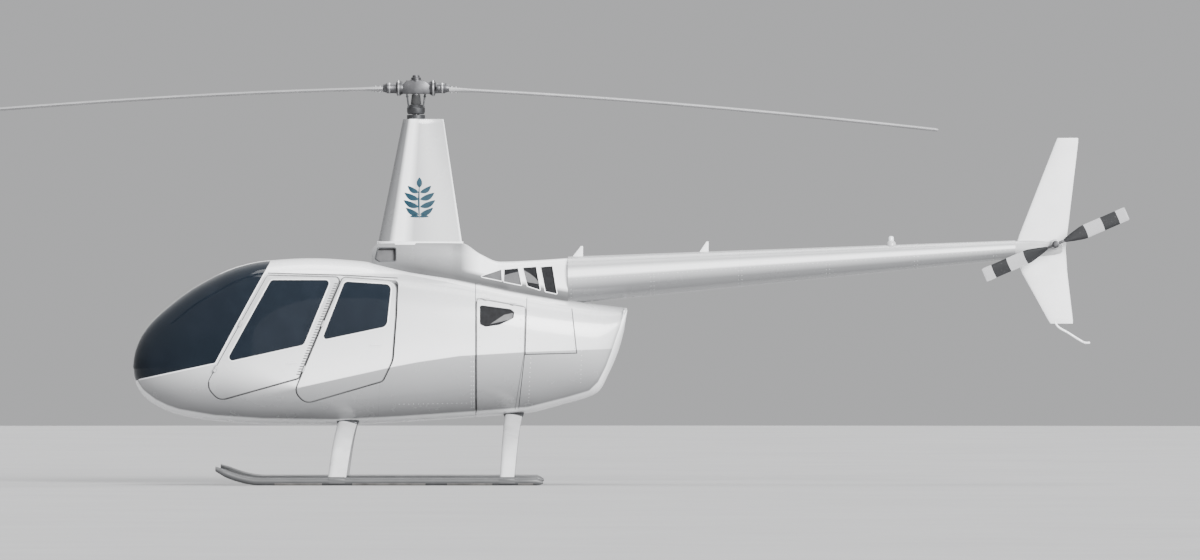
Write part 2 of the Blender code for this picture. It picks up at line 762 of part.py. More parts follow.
def cowl_section(x, inset):
    """Half of the raised cowl's section: flared in front, round behind."""
    top = cowl_top(x) - inset
    low = body_top(x) - 0.14
    points = []
    for level in COWL_LEVELS:
        flared = (1 - level) ** 1.7
        arched = math.sqrt(max(1 - level * level, 0.0))
        share = flared + (arched - flared) * cowl_round(x)
        half = cowl_crest(x) + (cowl_foot(x) - cowl_crest(x)) * share - inset
        points.append((half, low + (top - low) * level))
    return points


def cowl_form(inset, name="cowl_form"):
    """The raised cowl's form, moved in by the inset."""
    mesh = bmesh.new()
    rings = []
    stations = list(COWL_STATIONS)
    if inset:
        stations[0] += inset
        stations[-1] = 1.38
        stations.sort()
    for x in stations:
        half = cowl_section(x, inset)
        ring = [Vector((x, y, z)) for y, z in half] + [Vector((x, -y, z)) for y, z in reversed(half)]
        rings.append(ring)
    loft(mesh, rings)
    return solid(name, mesh)


INTAKES = [
    [(0.601, 1.960), (0.791, 2.009), (0.799, 1.900)],
    [(0.822, 2.009), (0.946, 2.013), (0.981, 1.865), (0.822, 1.885)],
    [(0.989, 2.024), (1.112, 2.028), (1.150, 1.830), (1.027, 1.850)],
    [(1.155, 2.036), (1.271, 2.040), (1.315, 1.795), (1.202, 1.815)],
]


def upper_cowl():
    """The raised cowl as a shell, with its intakes and the mast's bore."""
    shell = cut(cowl_form(0.0), body_solid(-SEAT_GAP))
    cut(shell, cowl_form(COWL_WALL))
    for opening in INTAKES:
        cut(shell, prism(opening, -0.6, 0.6))
    cut(shell, turned([(FAIRING_BORE, 2.0), (FAIRING_BORE, 2.4)], (0, 0, 0)))
    return named(shell, "upper_cowl")


fairing_front = smooth_curve([(FAIRING_BASE_Z, -0.355), (FAIRING_TOP_Z, -0.121)])
fairing_rear = smooth_curve([(FAIRING_BASE_Z, 0.430), (FAIRING_TOP_Z, 0.257)])


def streamlined(front, rear, thick, count=8):
    """An aerofoil outline in plan, (x, y) points, blunt in front and fine behind."""
    half = []
    for i in range(count + 1):
        share = (1 - math.cos(math.pi * i / count)) / 2
        width = 2.969 * math.sqrt(share) - 1.26 * share - 3.516 * share**2 + 2.843 * share**3
        width -= 1.015 * share**4
        half.append((front + (rear - front) * share, thick / 2 * width))
    upper = half[1:-1]
    return [(half[0][0], 0.0)] + upper + [(half[-1][0], 0.004), (half[-1][0], -0.004)] + [
        (x, -y) for x, y in reversed(upper)
    ]


def mast_fairing():
    """The tall streamlined tower round the mast."""
    mesh = bmesh.new()
    rings = []
    for z in (FAIRING_BASE_Z - 0.06, 2.7, 3.1, FAIRING_TOP_Z):
        reach = max(z, FAIRING_BASE_Z)
        thick = 0.26 - 0.07 * (z - FAIRING_BASE_Z) / (FAIRING_TOP_Z - FAIRING_BASE_Z)
        outline = streamlined(fairing_front(reach), fairing_rear(reach), thick)
        rings.append([Vector((x, y, z)) for x, y in outline])
    loft(mesh, rings)
    tower = solid("fairing", mesh)
    cut(tower, turned([(FAIRING_BORE, 2.0), (FAIRING_BORE, 3.6)], (0, 0, 0)))
    seat = cowl_form(-SEAT_GAP)
    return named(cut(tower, seat), "mast_fairing")


cone_radius = smooth_curve([(CONE_FRONT_X, 0.221), (CONE_REAR_X, 0.086)])
cone_height = smooth_curve([(CONE_FRONT_X, 1.905), (CONE_REAR_X, 2.191)])


def cone_form(stations, extra=0.0):
    """The tailcone's form through stations, its radius larger by extra."""
    mesh = bmesh.new()
    rings = []
    for x in stations:
        ring = circle(cone_radius(x) + extra, 20, 0)
        rings.append([Vector((x, a, cone_height(x) + b)) for a, b in ring])
    loft(mesh, rings)
    return solid("cone", mesh)


def tailcone():
    """The boom, cut where it meets the body."""
    return named(cut(cone_form((CONE_FRONT_X, CONE_REAR_X)), body_solid(-SEAT_GAP)), "tailcone")


def grown_cone():
    """The tailcone with the seating gap round it, for cutting what stands on it."""
    return cone_form((CONE_FRONT_X - 0.001, CONE_REAR_X + 0.001), SEAT_GAP * 1.2)


def cone_skin_z(x):
    """The height of the tailcone's top."""
    return cone_height(x) + cone_radius(x)


def antenna(name, front, rear, tip_z):
    """A thin blade aerial, raked aft, standing on the tailcone."""
    base = cone_skin_z((front + rear) / 2) - 0.02
    outline = [(front, base), (rear, base), (rear, tip_z), (rear - 0.02, tip_z)]
    blade = prism(outline, -0.006, 0.006)
    return named(cut(blade, grown_cone()), name)


def beacon():
    """The red lamp on top of the tailcone."""
    base = cone_skin_z(BEACON_X) - 0.02
    lamp = turned([(0.046, base), (0.046, 2.285), (0.036, 2.308), (0.018, 2.318)], (BEACON_X, 0, 0), 12)
    return named(cut(lamp, grown_cone()), "beacon")


def gearbox_form(extra):
    """The tail gearbox, from the tailcone's end to the fins' trailing edge."""
    profile = [(0.072, 0.0), (0.078, 0.12), (0.07, 0.30), (0.045, 0.44)]
    grown_profile = [(radius + extra, x) for radius, x in profile]
    return turned(grown_profile, (CONE_REAR_X + SEAT_GAP, 0, FIN_SPLIT_Z), 12, "gearbox", "X")


def tail_gearbox():
    """The tail gearbox with the boss that carries the tail rotor's shaft."""
    body = gearbox_form(0.0)
    shaft_y = TAIL_ROTOR_Y + TAIL_SHAFT_REACH + SEAT_GAP
    profile = [(BOSS_RADIUS, 0.0), (BOSS_RADIUS, -0.07), (0.036, shaft_y)]
    boss = turned(profile, (TAIL_HUB_X, 0, TAIL_HUB_Z), 12, "boss", "Y")
    return named(join(body, boss), "tail_gearbox")


def fin(name, levels, low, high):
    """A fin lofted from (z, front x, rear x, thickness) levels and cut round the gearbox."""
    mesh = bmesh.new()
    rings = []
    for z, front, rear, thick in levels:
        rings.append([Vector((x, y, z)) for x, y in streamlined(front, rear, thick, 6)])
    loft(mesh, rings)
    blade = solid(name, mesh)
    common(blade, block((5.4, -0.2, low), (6.6, 0.2, high)))
    cut(blade, gearbox_form(SEAT_GAP))
    clear = BOSS_RADIUS + SEAT_GAP
    cut(blade, turned([(clear, 0.1), (clear, -0.2)], (TAIL_HUB_X, 0, TAIL_HUB_Z), 12, "boss", "Y"))
    cut(blade, grown_cone())
    return named(blade, name)


UPPER_FIN = [(2.20, 5.60, 6.072, 0.036), (2.318, 5.635, 6.084, 0.036), (3.234, 5.993, 6.193, 0.026)]
LOWER_FIN = [(1.500, 5.925, 6.143, 0.024), (1.986, 5.655, 6.085, 0.034), (2.20, 5.60, 6.072, 0.036)]


def stabilizer():
    """The level tail surface, on the starboard side."""
    mesh = bmesh.new()
    rings = []
    for y, front, rear, thick in ((0.0, 5.62, 5.98, 0.036), (0.92, 5.66, 5.96, 0.028)):
        rings.append([Vector((x, y, 2.24 + z)) for x, z in streamlined(front, rear, thick, 6)])
    loft(mesh, rings)
    blade = solid("stabilizer", mesh)
    cut(blade, gearbox_form(SEAT_GAP))
    cut(blade, block((5.3, -0.2, 2.1), (6.4, 0.0185, 2.4)))
    return named(blade, "stabilizer")


def tail_guard():
    """The bent tube below the lower fin that keeps the tail rotor off the ground."""
    path = [Vector(point) for point in (
        (5.96, 0, 1.53), (6.00, 0, 1.478), (6.08, 0, 1.405), (6.16, 0, 1.348), (6.243, 0, 1.318),
        (6.299, 0, 1.320),
    )]
    tube = sweep(path, [circle(0.011, 8)] * len(path), "guard")
    seat = block((5.8, -0.1, 1.5 - SEAT_GAP), (6.3, 0.1, 1.7))
    return named(cut(tube, seat), "tail_guard")


def skid(side):
    """A straight tube that rests on its flat underside, its toe curved up and its heel pointed."""
    path = [(SKID_TIP_X, SKID_Z - 0.012), (SKID_REAR_X, SKID_Z), (SKID_FRONT_X, SKID_Z)]
    bend = 5
    for i in range(1, bend + 1):
        share = i / bend
        x = SKID_FRONT_X + (TOE_X - SKID_FRONT_X) * share
        path.append((x, SKID_Z + TOE_RISE * share**1.8))
    radii = [0.012] + [SKID_RADIUS] * (len(path) - 2) + [SKID_RADIUS * 0.6]
    mesh = bmesh.new()
    rings = []
    for (x, z), radius in zip(path, radii):
        ring = circle(radius, SKID_SIDES)
        rings.append([Vector((x, side * SKID_Y + a, z + b)) for a, b in ring])
    loft(mesh, rings)
    return named(solid("skid", mesh), f"skid_{SIDE_NAMES[side]}")


# Each leg's name, its root and foot on the starboard side, and its chord at both.
LEGS = (
    ("front_leg", (-0.625, 0.36, 0.60), (-0.725, SKID_Y, 0.045), (0.18, 0.165)),
    ("rear_leg", (0.916, 0.12, 0.665), (0.855, SKID_Y, 0.045), (0.165, 0.13)),
)


def leg(name, side, root, foot, chords):
    """A leg with its streamlined fairing, from inside the body down to the skid."""
    path, sections = [], []
    count = 6
    for i in range(count):
        share = i / (count - 1)
        middle = Vector(root).lerp(Vector(foot), share)
        middle.z += math.sin(math.pi * share) * LEG_BOW
        path.append(Vector((middle.x, side * middle.y, middle.z)))
        chord = chords[0] + (chords[1] - chords[0]) * share
        sections.append(circle(chord / 2, 12, 0.5, 0.30))
    strut = sweep(path, sections, name)
    cut(strut, body_solid(-SEAT_GAP))
    ends = [Vector((x, side * SKID_Y, SKID_Z)) for x in (SKID_FRONT_X, SKID_REAR_X)]
    cut(strut, sweep(ends, [circle(SKID_RADIUS + SEAT_GAP * 1.3, SKID_SIDES)] * 2, "tube"))
    return named(strut, f"{name}_{SIDE_NAMES[side]}")


def engine():
    """The engine as one plain mass on the bay's floor."""
    length = ENGINE_REAR_X - ENGINE_FRONT_X
    profile = [(0.15, 0.0), (0.24, 0.08), (0.24, length - 0.12), (0.16, length)]
    drum = turned(profile, (ENGINE_FRONT_X, 0, ENGINE_Z), 16, "drum", "X")
    base = block((0.68, -0.16, BAY_FLOOR_Z + SEAT_GAP), (1.18, 0.16, 1.0))
    return named(join(drum, base), "engine")


def gearbox():
    """The main gearbox under the raised cowl, on the body's deck."""
    case = turned([(0.15, 1.7), (0.15, 2.12), (0.10, GEARBOX_TOP_Z)], (0, 0, 0), 16, "case")
    return named(cut(case, body_solid(-SEAT_GAP)), "main_gearbox")


SEAT_PROFILE = [
    (-1.30, CABIN_FLOOR_Z + SEAT_GAP), (-1.34, 1.02), (-1.36, 1.10), (-1.30, 1.13), (-0.92, 1.09),
    (-0.78, 1.50), (-0.72, 1.54), (-0.66, 1.52), (-0.80, 1.02), (-0.82, CABIN_FLOOR_Z + SEAT_GAP),
]
BENCH_PROFILE = [
    (-0.40, CABIN_FLOOR_Z), (-0.42, 1.06), (-0.46, 1.12), (-0.42, 1.16), (-0.02, 1.12), (0.04, 1.62),
    (0.09, 1.65), (BULKHEAD_X - SEAT_GAP, 1.62), (BULKHEAD_X - SEAT_GAP, CABIN_FLOOR_Z),
]
CONSOLE_PROFILE = [
    (-2.02, CABIN_FLOOR_Z + SEAT_GAP), (-2.10, 1.10), (-2.04, 1.34), (-1.96, 1.38), (-1.90, 1.34),
    (-1.84, 1.05), (-1.66, 0.98), (-1.50, 0.94), (-1.48, CABIN_FLOOR_Z + SEAT_GAP),
]


def cabin_fittings():
    """Seats, bench, console, stick and bulkhead."""
    pieces = []
    for side in (PORT, STARBOARD):
        low, high = sorted((side * 0.06, side * 0.54))
        seat = prism(SEAT_PROFILE, low, high)
        pieces.append(named(common(seat, body_solid(0.08)), f"front_seat_{SIDE_NAMES[side]}"))
    bench = common(prism(BENCH_PROFILE, -0.62, 0.62), cavity(SEAT_GAP * 1.2))
    pieces.append(named(bench, "rear_bench"))
    console = prism(CONSOLE_PROFILE, -0.15, 0.15)
    pieces.append(named(console, "console"))
    wall = block((BULKHEAD_X, -0.9, 0.5), (BULKHEAD_X + 0.025, 0.9, 2.4))
    pieces.append(named(common(wall, cavity(SEAT_GAP * 1.2)), "rear_bulkhead"))
    floor = CABIN_FLOOR_Z + SEAT_GAP
    stem = [Vector(point) for point in ((-1.42, 0, floor), (-1.42, 0, 1.0), (-1.46, 0, 1.22))]
    stick = sweep(stem, [circle(0.018, 8)] * 3, "stem")
    ends = [Vector((-1.46, y, 1.21)) for y in (-0.34, 0.34)]
    bar = sweep(ends, [circle(0.013, 8)] * 2, "bar")
    pieces.append(named(join(stick, bar), "control_stick"))
    return pieces


def blade_height(reach):
    """How far a main blade has drooped at a distance from the mast."""
    return -TIP_DROOP * (reach / MAIN_RADIUS) ** DROOP_POWER


def main_blade(name, direction):
    """A main rotor blade at rest, drooping under its own weight."""
    mesh = bmesh.new()
    rings = []
    stations = [BLADE_ROOT_R, 0.45, 0.9, 1.5, 2.1, 2.7, 3.3, 3.9, 4.4, 4.80, MAIN_RADIUS]
    for reach in stations:
        root = max(0.0, 1 - (reach - BLADE_ROOT_R) / 0.3)
        chord = MAIN_CHORD * (1 - 0.55 * root) * (0.86 if reach == MAIN_RADIUS else 1)
        thick = 0.034 + 0.012 * root
        outline = streamlined(-chord * 0.35, chord * 0.65, thick, 5)
        tilt = direction * reach * math.sin(math.radians(REST_TILT_DEG))
        z = HUB_Z - 0.005 + blade_height(reach) - tilt
        rings.append([Vector((direction * reach, direction * y, z + up)) for y, up in outline])
    loft(mesh, rings)
    return named(solid(name, mesh), name)


def rotor_hub():
    """The teetering hub with its two blade grips and boots."""
    hub = block((-0.13, -0.055, HUB_UNDERSIDE_Z), (0.13, 0.055, HUB_Z + 0.075))
    cap = turned([(0.05, HUB_Z), (0.05, HUB_Z + 0.09), (0.028, HUB_Z + 0.122)], (0, 0, 0), 12)
    join(hub, cap)
    grip_end = BLADE_ROOT_R - SEAT_GAP
    profile = [(0.035, 0.10), (0.072, 0.15), (0.076, 0.17), (0.05, 0.185), (0.05, 0.27), (0.034, grip_end)]
    for direction in (-1, 1):
        grip = [(radius, direction * x) for radius, x in profile]
        join(hub, turned(grip, (0, 0, HUB_Z), 12, "grip", "X"))
    wide = MAST_RADIUS + SEAT_GAP * 2
    bore = turned([(wide, 3.5), (wide, MAST_TOP_Z + CLEAR_STEP)], (0, 0, 0), SHAFT_SIDES)
    return named(cut(hub, bore), "rotor_hub")


def swashplates():
    """The fixed lower and the turning upper swashplate, with the pitch links up to the hub."""
    lower = turned([(0.085, FAIRING_TOP_Z + SEAT_GAP), (0.085, 3.45)], (0, 0, 0), SWASH_SIDES)
    cut(lower, turned([(FAIRING_BORE, 3.3), (FAIRING_BORE, 3.6)], (0, 0, 0), SWASH_SIDES))
    profile = [(0.075, 3.4565), (0.085, 3.48), (0.085, 3.52), (0.06, 3.545)]
    upper = turned(profile, (0, 0, 0), SWASH_SIDES)
    for side in (-1, 1):
        foot = Vector((side * 0.065, side * 0.03, 3.50))
        head = Vector((side * 0.085, side * 0.05, 3.664))
        join(upper, sweep([foot, head], [circle(0.009, 8)] * 2, "link"))
    cut(upper, block((-0.2, -0.2, HUB_UNDERSIDE_Z - SEAT_GAP), (0.2, 0.2, HUB_Z + 0.1)))
    tight = MAST_RADIUS + SEAT_GAP
    cut(upper, turned([(tight, 3.3), (tight, 3.6)], (0, 0, 0), SHAFT_SIDES))
    return [named(lower, "swashplate_lower"), named(upper, "swashplate_upper")]


def mast():
    """The shaft from the gearbox up into the hub."""
    ends = [(MAST_RADIUS, GEARBOX_TOP_Z + CLEAR_STEP), (MAST_RADIUS, MAST_TOP_Z)]
    shaft = turned(ends, (0, 0, 0), SHAFT_SIDES)
    return named(shaft, "main_mast")


def tail_axes():
    """The tail rotor's centre, and the directions along and across its blades as parked."""
    angle = math.radians(TAIL_PARK_DEG)
    centre = Vector((TAIL_HUB_X, TAIL_ROTOR_Y, TAIL_HUB_Z))
    along = Vector((math.cos(angle), 0, math.sin(angle)))
    return centre, along, Vector((-along.z, 0, along.x))


def tail_hub():
    """The tail rotor's shaft and yoke."""
    centre, along, _ = tail_axes()
    hub = turned([(0.03, TAIL_SHAFT_REACH), (0.03, -0.03), (0.018, -0.045)], centre, 12, "hub", "Y")
    ends = [centre - along * YOKE_REACH, centre + along * YOKE_REACH]
    yoke = sweep(ends, [circle(0.022, 8, 0.5, 0.6)] * 2, "yoke")
    return named(join(hub, yoke), "tail_rotor_hub")


def tail_blade(name, direction):
    """A tail rotor blade, narrow at its shank."""
    centre, along, across = tail_axes()
    mesh = bmesh.new()
    rings = []
    for reach, chord, thick in (
        (YOKE_REACH + SEAT_GAP, 0.03, 0.02), (0.12, 0.05, 0.02), (0.30, TAIL_CHORD, 0.018),
        (0.55, TAIL_CHORD, 0.016), (TAIL_RADIUS, TAIL_CHORD * 0.97, 0.014),
    ):
        middle = centre + along * direction * reach
        outline = streamlined(-chord / 2, chord / 2, thick, 5)
        rings.append([middle + across * direction * a + Vector((0, b, 0)) for a, b in outline])
    loft(mesh, rings)
    return named(solid(name, mesh), name)


# Materials: colour, metallic and roughness.
FINISHES = {
    "white_paint": ((0.80, 0.80, 0.81), 0.1, 0.25),
    "tinted_glass": ((0.03, 0.04, 0.055), 0.0, 0.05),
    "dark_metal": ((0.12, 0.12, 0.125), 0.8, 0.45),
    "bare_metal": ((0.45, 0.45, 0.46), 0.9, 0.35),
    "blade_grey": ((0.40, 0.40, 0.41), 0.3, 0.45),
    "seat_leather": ((0.25, 0.26, 0.28), 0.0, 0.55),
    "cabin_plastic": ((0.10, 0.10, 0.11), 0.0, 0.6),
    "red_lens": ((0.55, 0.03, 0.02), 0.0, 0.1),
    "clear_lens": ((0.85, 0.86, 0.88), 0.0, 0.1),
}


def finish_of(name):
    """Which finish a piece has, from its name."""
    if "window" in name or "windshield" in name:
        return "tinted_glass"
    if "seat" in name or "bench" in name:
        return "seat_leather"
    if name in ("console", "control_stick", "rear_bulkhead"):
        return "cabin_plastic"
    if name in ("engine", "main_gearbox", "exhaust_pipe"):
        return "dark_metal"
    if name in ("main_mast", "tail_gearbox") or "swashplate" in name or "hub" in name:
        return "bare_metal"
    if "blade" in name or "skid" in name or name == "tail_guard":
        return "blade_grey"
    if name == "beacon":
        return "red_lens"
    if name == "landing_light":
        return "clear_lens"
    return "white_paint"


def paint(item):
    """Give a piece a material of its own."""
    colour, metallic, roughness = FINISHES[finish_of(item.name)]
    material = bpy.data.materials.new(f"{item.name}_finish")
    material.use_nodes = True
    shader = material.node_tree.nodes["Principled BSDF"]
    shader.inputs["Base Color"].default_value = (*colour, 1.0)
    shader.inputs["Metallic"].default_value = metallic
    shader.inputs["Roughness"].default_value = roughness
    item.data.materials.clear()
    item.data.materials.append(material)


def place(item, pivot=(0.0, 0.0, 0.0)):
    """Move a piece to its place on the aircraft, with its origin at the pivot."""
    pivot = Vector(pivot)
    item.data.transform(Matrix.Translation(-pivot))
    item.location = pivot + Vector((MAST_X, 0, 0))
    item.data.shade_smooth()
    item.data.set_sharp_from_angle(angle=math.radians(30))


def root_pieces():
    """Every piece that doesn't move."""
    pieces = cabin() + [middle_fuselage(), aft_cowl(), landing_light(), exhaust_pipe()]
    pieces += access_panels() + windshields() + cabin_fittings()
    pieces += [upper_cowl(), mast_fairing(), tailcone(), engine(), gearbox()]
    pieces += [
        antenna("antenna_front", 1.458, 1.561, 2.224),
        antenna("antenna_rear", 2.645, 2.734, 2.266),
        beacon(),
        tail_gearbox(),
        fin("upper_fin", UPPER_FIN, FIN_SPLIT_Z + SEAT_GAP / 2, 4.0),
        fin("lower_fin", LOWER_FIN, 1.0, FIN_SPLIT_Z - SEAT_GAP / 2),
        stabilizer(),
        tail_guard(),
    ]
    for side in (PORT, STARBOARD):
        pieces.append(skid(side))
        for name, root, foot, chords in LEGS:
            pieces.append(leg(name, side, root, foot, chords))
    return pieces


def main():
    """Build every piece, hang the doors and put it all in place."""
    clear_scene()
    pieces = {item.name: item for item in root_pieces()}
    pivots = {}
    tree = skin_tree()
    for side in (PORT, STARBOARD):
        for name, (outline, window) in CABIN_DOORS.items():
            for item in cabin_door(name, rounded(outline), rounded(window), side):
                pieces[item.name] = item
                pivots[item.name] = hinge_line(tree, name, side)[0]
        door = cowl_door(side)
        pieces[door.name] = door
        pivots[door.name] = cowl_hinge(tree, side)[0]
        hang_cabin_doors(tree, pieces, side)
        hang_cowl_door(tree, pieces, side)

    lower, upper = swashplates()
    pieces[lower.name] = lower
    blades = [main_blade("main_blade_a", -1), main_blade("main_blade_b", 1)]
    for item in [mast(), upper, rotor_hub()] + blades:
        pieces[item.name] = item
        pivots[item.name] = (0, 0, HUB_Z)
    for item in (tail_hub(), tail_blade("tail_blade_a", 1), tail_blade("tail_blade_b", -1)):
        pieces[item.name] = item
        pivots[item.name] = (TAIL_HUB_X, TAIL_ROTOR_Y, TAIL_HUB_Z)
    for name, item in pieces.items():
        place(item, pivots.get(name, (0, 0, 0)))
        paint(item)


main()
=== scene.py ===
"""Looks for a light turbine helicopter on skids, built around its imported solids.

Lengths are metres. Shapes are drawn with x measured aft from the main mast, and moved to their
place on the aircraft when they become objects.
"""

import json
import math

import bmesh
import bpy
import numpy as np
from bpy.props import FloatProperty, FloatVectorProperty, IntProperty, PointerProperty
from bpy.types import Operator, Panel, PropertyGroup
from mathutils import Matrix, Vector


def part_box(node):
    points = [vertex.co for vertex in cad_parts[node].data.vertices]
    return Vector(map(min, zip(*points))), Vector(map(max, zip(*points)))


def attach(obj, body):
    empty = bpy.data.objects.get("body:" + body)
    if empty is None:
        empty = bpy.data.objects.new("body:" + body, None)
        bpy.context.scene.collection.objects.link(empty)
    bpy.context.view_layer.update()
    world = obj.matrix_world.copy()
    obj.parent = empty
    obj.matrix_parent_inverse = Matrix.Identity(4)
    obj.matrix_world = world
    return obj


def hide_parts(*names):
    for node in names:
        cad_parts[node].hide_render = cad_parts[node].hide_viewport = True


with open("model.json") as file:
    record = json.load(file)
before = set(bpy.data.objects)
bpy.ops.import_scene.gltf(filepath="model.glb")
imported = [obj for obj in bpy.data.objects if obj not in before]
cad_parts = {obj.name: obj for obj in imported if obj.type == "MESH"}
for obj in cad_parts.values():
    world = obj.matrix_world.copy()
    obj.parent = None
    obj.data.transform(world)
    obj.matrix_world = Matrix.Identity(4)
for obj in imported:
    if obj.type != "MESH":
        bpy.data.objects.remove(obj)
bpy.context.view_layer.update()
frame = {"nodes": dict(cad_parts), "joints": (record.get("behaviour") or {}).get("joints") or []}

bl_info = {
    "name": "Light Helicopter Looks",
    "version": (1, 0, 0),
    "blender": (4, 5, 0),
    "location": "View3D > Sidebar > Helicopter",
    "description": "Dresses a light turbine helicopter with its panels, glass, rotors and cabin",
    "category": "Object",
}

MAST_LOW, MAST_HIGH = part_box("main_mast")
MAST_X = (MAST_LOW.x + MAST_HIGH.x) / 2
PORT, STARBOARD = -1, 1
SIDES = {PORT: "left", STARBOARD: "right"}
PHOTO_SCALE = 107.0
PHOTO_SIZE = (1200, 560)
PHOTO_MAST = 416
PHOTO_GROUND = 484

# Body, as in the solids.
NOSE_X, TAIL_X = -2.645, 1.972
NOSE_Z = 1.09
WALL = 0.05
SKIN = 0.022
RIM_DEPTH = 0.035
RIM = 0.025
FLOOR_Z = 0.74
BAY_FLOOR_Z = 0.80
BULKHEAD_X = 0.16
FRAME_X = 0.561
SPLIT_Z = 1.166
DOOR_INNER_Y = 0.20
COWL_DOOR_INNER_Y = 0.27
ACCESS_INNER_Y = 0.40
GLASS_TOP, GLASS_THICK = 0.003, 0.006
SEAM = 0.003
POST_HALF = 0.02
RIM_END_X = 1.66
TOUCHING = 1e-6
BARREL, BARREL_GAP, BARREL_ROOM = 0.03, 0.0003, 0.0012


# ---- Sizes and colours a user may change ------------------------------------------------------


class HelicopterLooks(PropertyGroup):
    """Colours and fine sizes of the helicopter's finish."""

    upper_paint: FloatVectorProperty(
        name="Upper paint", description="Gloss paint above the side crease",
        subtype="COLOR", size=3, min=0, max=1, default=(0.80, 0.805, 0.815),
    )
    shade_paint: FloatVectorProperty(
        name="Shade paint", description="Upper paint where it darkens to the shoulder and the nose",
        subtype="COLOR", size=3, min=0, max=1, default=(0.34, 0.344, 0.35),
    )
    # Painted shade: the body's side below the crease and the boom's lower side are painted darker for the
    # light they turn away from.
    lower_shade_paint: FloatVectorProperty(
        name="Lower paint", description="Paint just below the side crease",
        subtype="COLOR", size=3, min=0, max=1, default=(0.27, 0.273, 0.278),
    )
    # Painted shade: the darkest tone, painted on the belly, under the raised cowl, on the fairing's leading
    # edge and under the boom.
    belly_shade_paint: FloatVectorProperty(
        name="Belly paint", description="Paint towards the belly",
        subtype="COLOR", size=3, min=0, max=1, default=(0.14, 0.142, 0.146),
    )
    glass_tint: FloatVectorProperty(
        name="Window tint", description="Colour of the dark acrylic windows",
        subtype="COLOR", size=3, min=0, max=1, default=(0.0085, 0.0122, 0.0178),
    )
    emblem_colour: FloatVectorProperty(
        name="Ornament", description="Colour of the leaf ornament on the mast fairing",
        subtype="COLOR", size=3, min=0, max=1, default=(0.004, 0.030, 0.048),
    )
    skid_paint: FloatVectorProperty(
        name="Skid paint", description="Satin paint of the skids",
        subtype="COLOR", size=3, min=0, max=1, default=(0.055, 0.056, 0.058),
    )
    dark_band: FloatVectorProperty(
        name="Dark band", description="Dark bands of the tail rotor blades",
        subtype="COLOR", size=3, min=0, max=1, default=(0.014, 0.0145, 0.016),
    )
    light_band: FloatVectorProperty(
        name="Light band", description="Light bands of the tail rotor blades",
        subtype="COLOR", size=3, min=0, max=1, default=(0.33, 0.33, 0.34),
    )
    rivet_radius: FloatProperty(
        name="Rivet radius", description="Radius of a rivet's head",
        unit="LENGTH", min=0.001, max=0.008, default=0.0032,
    )
    rivet_pitch: FloatProperty(
        name="Rivet pitch", description="Distance between rivets in a row",
        unit="LENGTH", min=0.01, max=0.2, default=0.045,
    )
    around: IntProperty(
        name="Skin steps around", description="Faces round half of the body", min=16, max=96, default=56,
    )
    light: FloatProperty(
        name="Studio light", description="Strength of the sky and of the soft suns",
        min=0, max=10, default=1.0,
    )
    lens: FloatProperty(
        name="Lens", description="Focal length in millimetres", min=200, max=700, default=480,
    )


def looks():
    """The scene's settings."""
    return bpy.context.scene.helicopter_looks


# ---- Curves and the body's form ---------------------------------------------------------------


def smooth_curve(points):
    """Return a function through the points, with no overshoot between them."""
    xs, zs = (np.array(column, dtype=float) for column in zip(*points))
    steps = np.diff(xs)
    slopes = np.diff(zs) / steps
    tangents = np.zeros_like(xs)
    tangents[0], tangents[-1] = slopes[0], slopes[-1]
    for i in range(1, len(xs) - 1):
        before, after = slopes[i - 1], slopes[i]
        if before * after > 0:
            weight_a, weight_b = 2 * steps[i] + steps[i - 1], steps[i] + 2 * steps[i - 1]
            tangents[i] = (weight_a + weight_b) / (weight_a / before + weight_b / after)

    def value(x):
        i = int(np.clip(np.searchsorted(xs, x) - 1, 0, len(steps) - 1))
        t = min(max((x - xs[i]) / steps[i], 0.0), 1.0)
        low = zs[i] * (1 + 2 * t) * (1 - t) ** 2 + tangents[i] * steps[i] * t * (1 - t) ** 2
        high = zs[i + 1] * t * t * (3 - 2 * t) + tangents[i + 1] * steps[i] * t * t * (t - 1)
        return float(low + high)

    return value


def from_nose(points):
    """As smooth_curve, but round at the nose."""
    curve = smooth_curve([(math.sqrt(x - NOSE_X), z) for x, z in points])
    return lambda x: curve(math.sqrt(max(x - NOSE_X, 0.0)))


body_top = from_nose([
    (NOSE_X, NOSE_Z), (-2.542, 1.421), (-2.318, 1.654), (-1.981, 1.888), (-1.645, 2.037),
    (-1.421, 2.084), (-0.972, 2.110), (-0.523, 2.084), (-0.10, 2.00), (0.505, 1.90),
    (1.346, 1.73), (TAIL_X, 1.645),
])
body_bottom = from_nose([
    (NOSE_X, NOSE_Z), (-2.542, 0.822), (-2.43, 0.738), (-2.206, 0.645), (-1.869, 0.589),
    (-1.421, 0.561), (-0.748, 0.551), (-0.15, 0.579), (0.56, 0.626), (1.047, 0.664),
    (1.383, 0.748), (1.607, 0.813), (1.70, 0.86), (1.83, 1.093), (1.944, 1.43), (TAIL_X, 1.60),
])
body_half_width = from_nose([
    (NOSE_X, 0.0), (-2.40, 0.38), (-2.0, 0.58), (-1.5, 0.70), (-0.9, 0.735), (-0.3, 0.73),
    (0.2, 0.70), (0.6, 0.66), (1.0, 0.60), (1.5, 0.50), (TAIL_X, 0.38),
])
widest_share = smooth_curve([(NOSE_X, 0.45), (-1.1, 0.39), (0.0, 0.47), (1.0, 0.56), (TAIL_X, 0.5)])
top_power = smooth_curve([(NOSE_X, 2.0), (-2.0, 2.4), (-1.2, 3.2), (1.0, 3.5), (TAIL_X, 3.0)])
bottom_power = smooth_curve([
    (NOSE_X, 2.0), (-2.0, 2.9), (-1.2, 3.1), (-0.3, 2.8), (1.0, 2.3), (TAIL_X, 2.2),
])


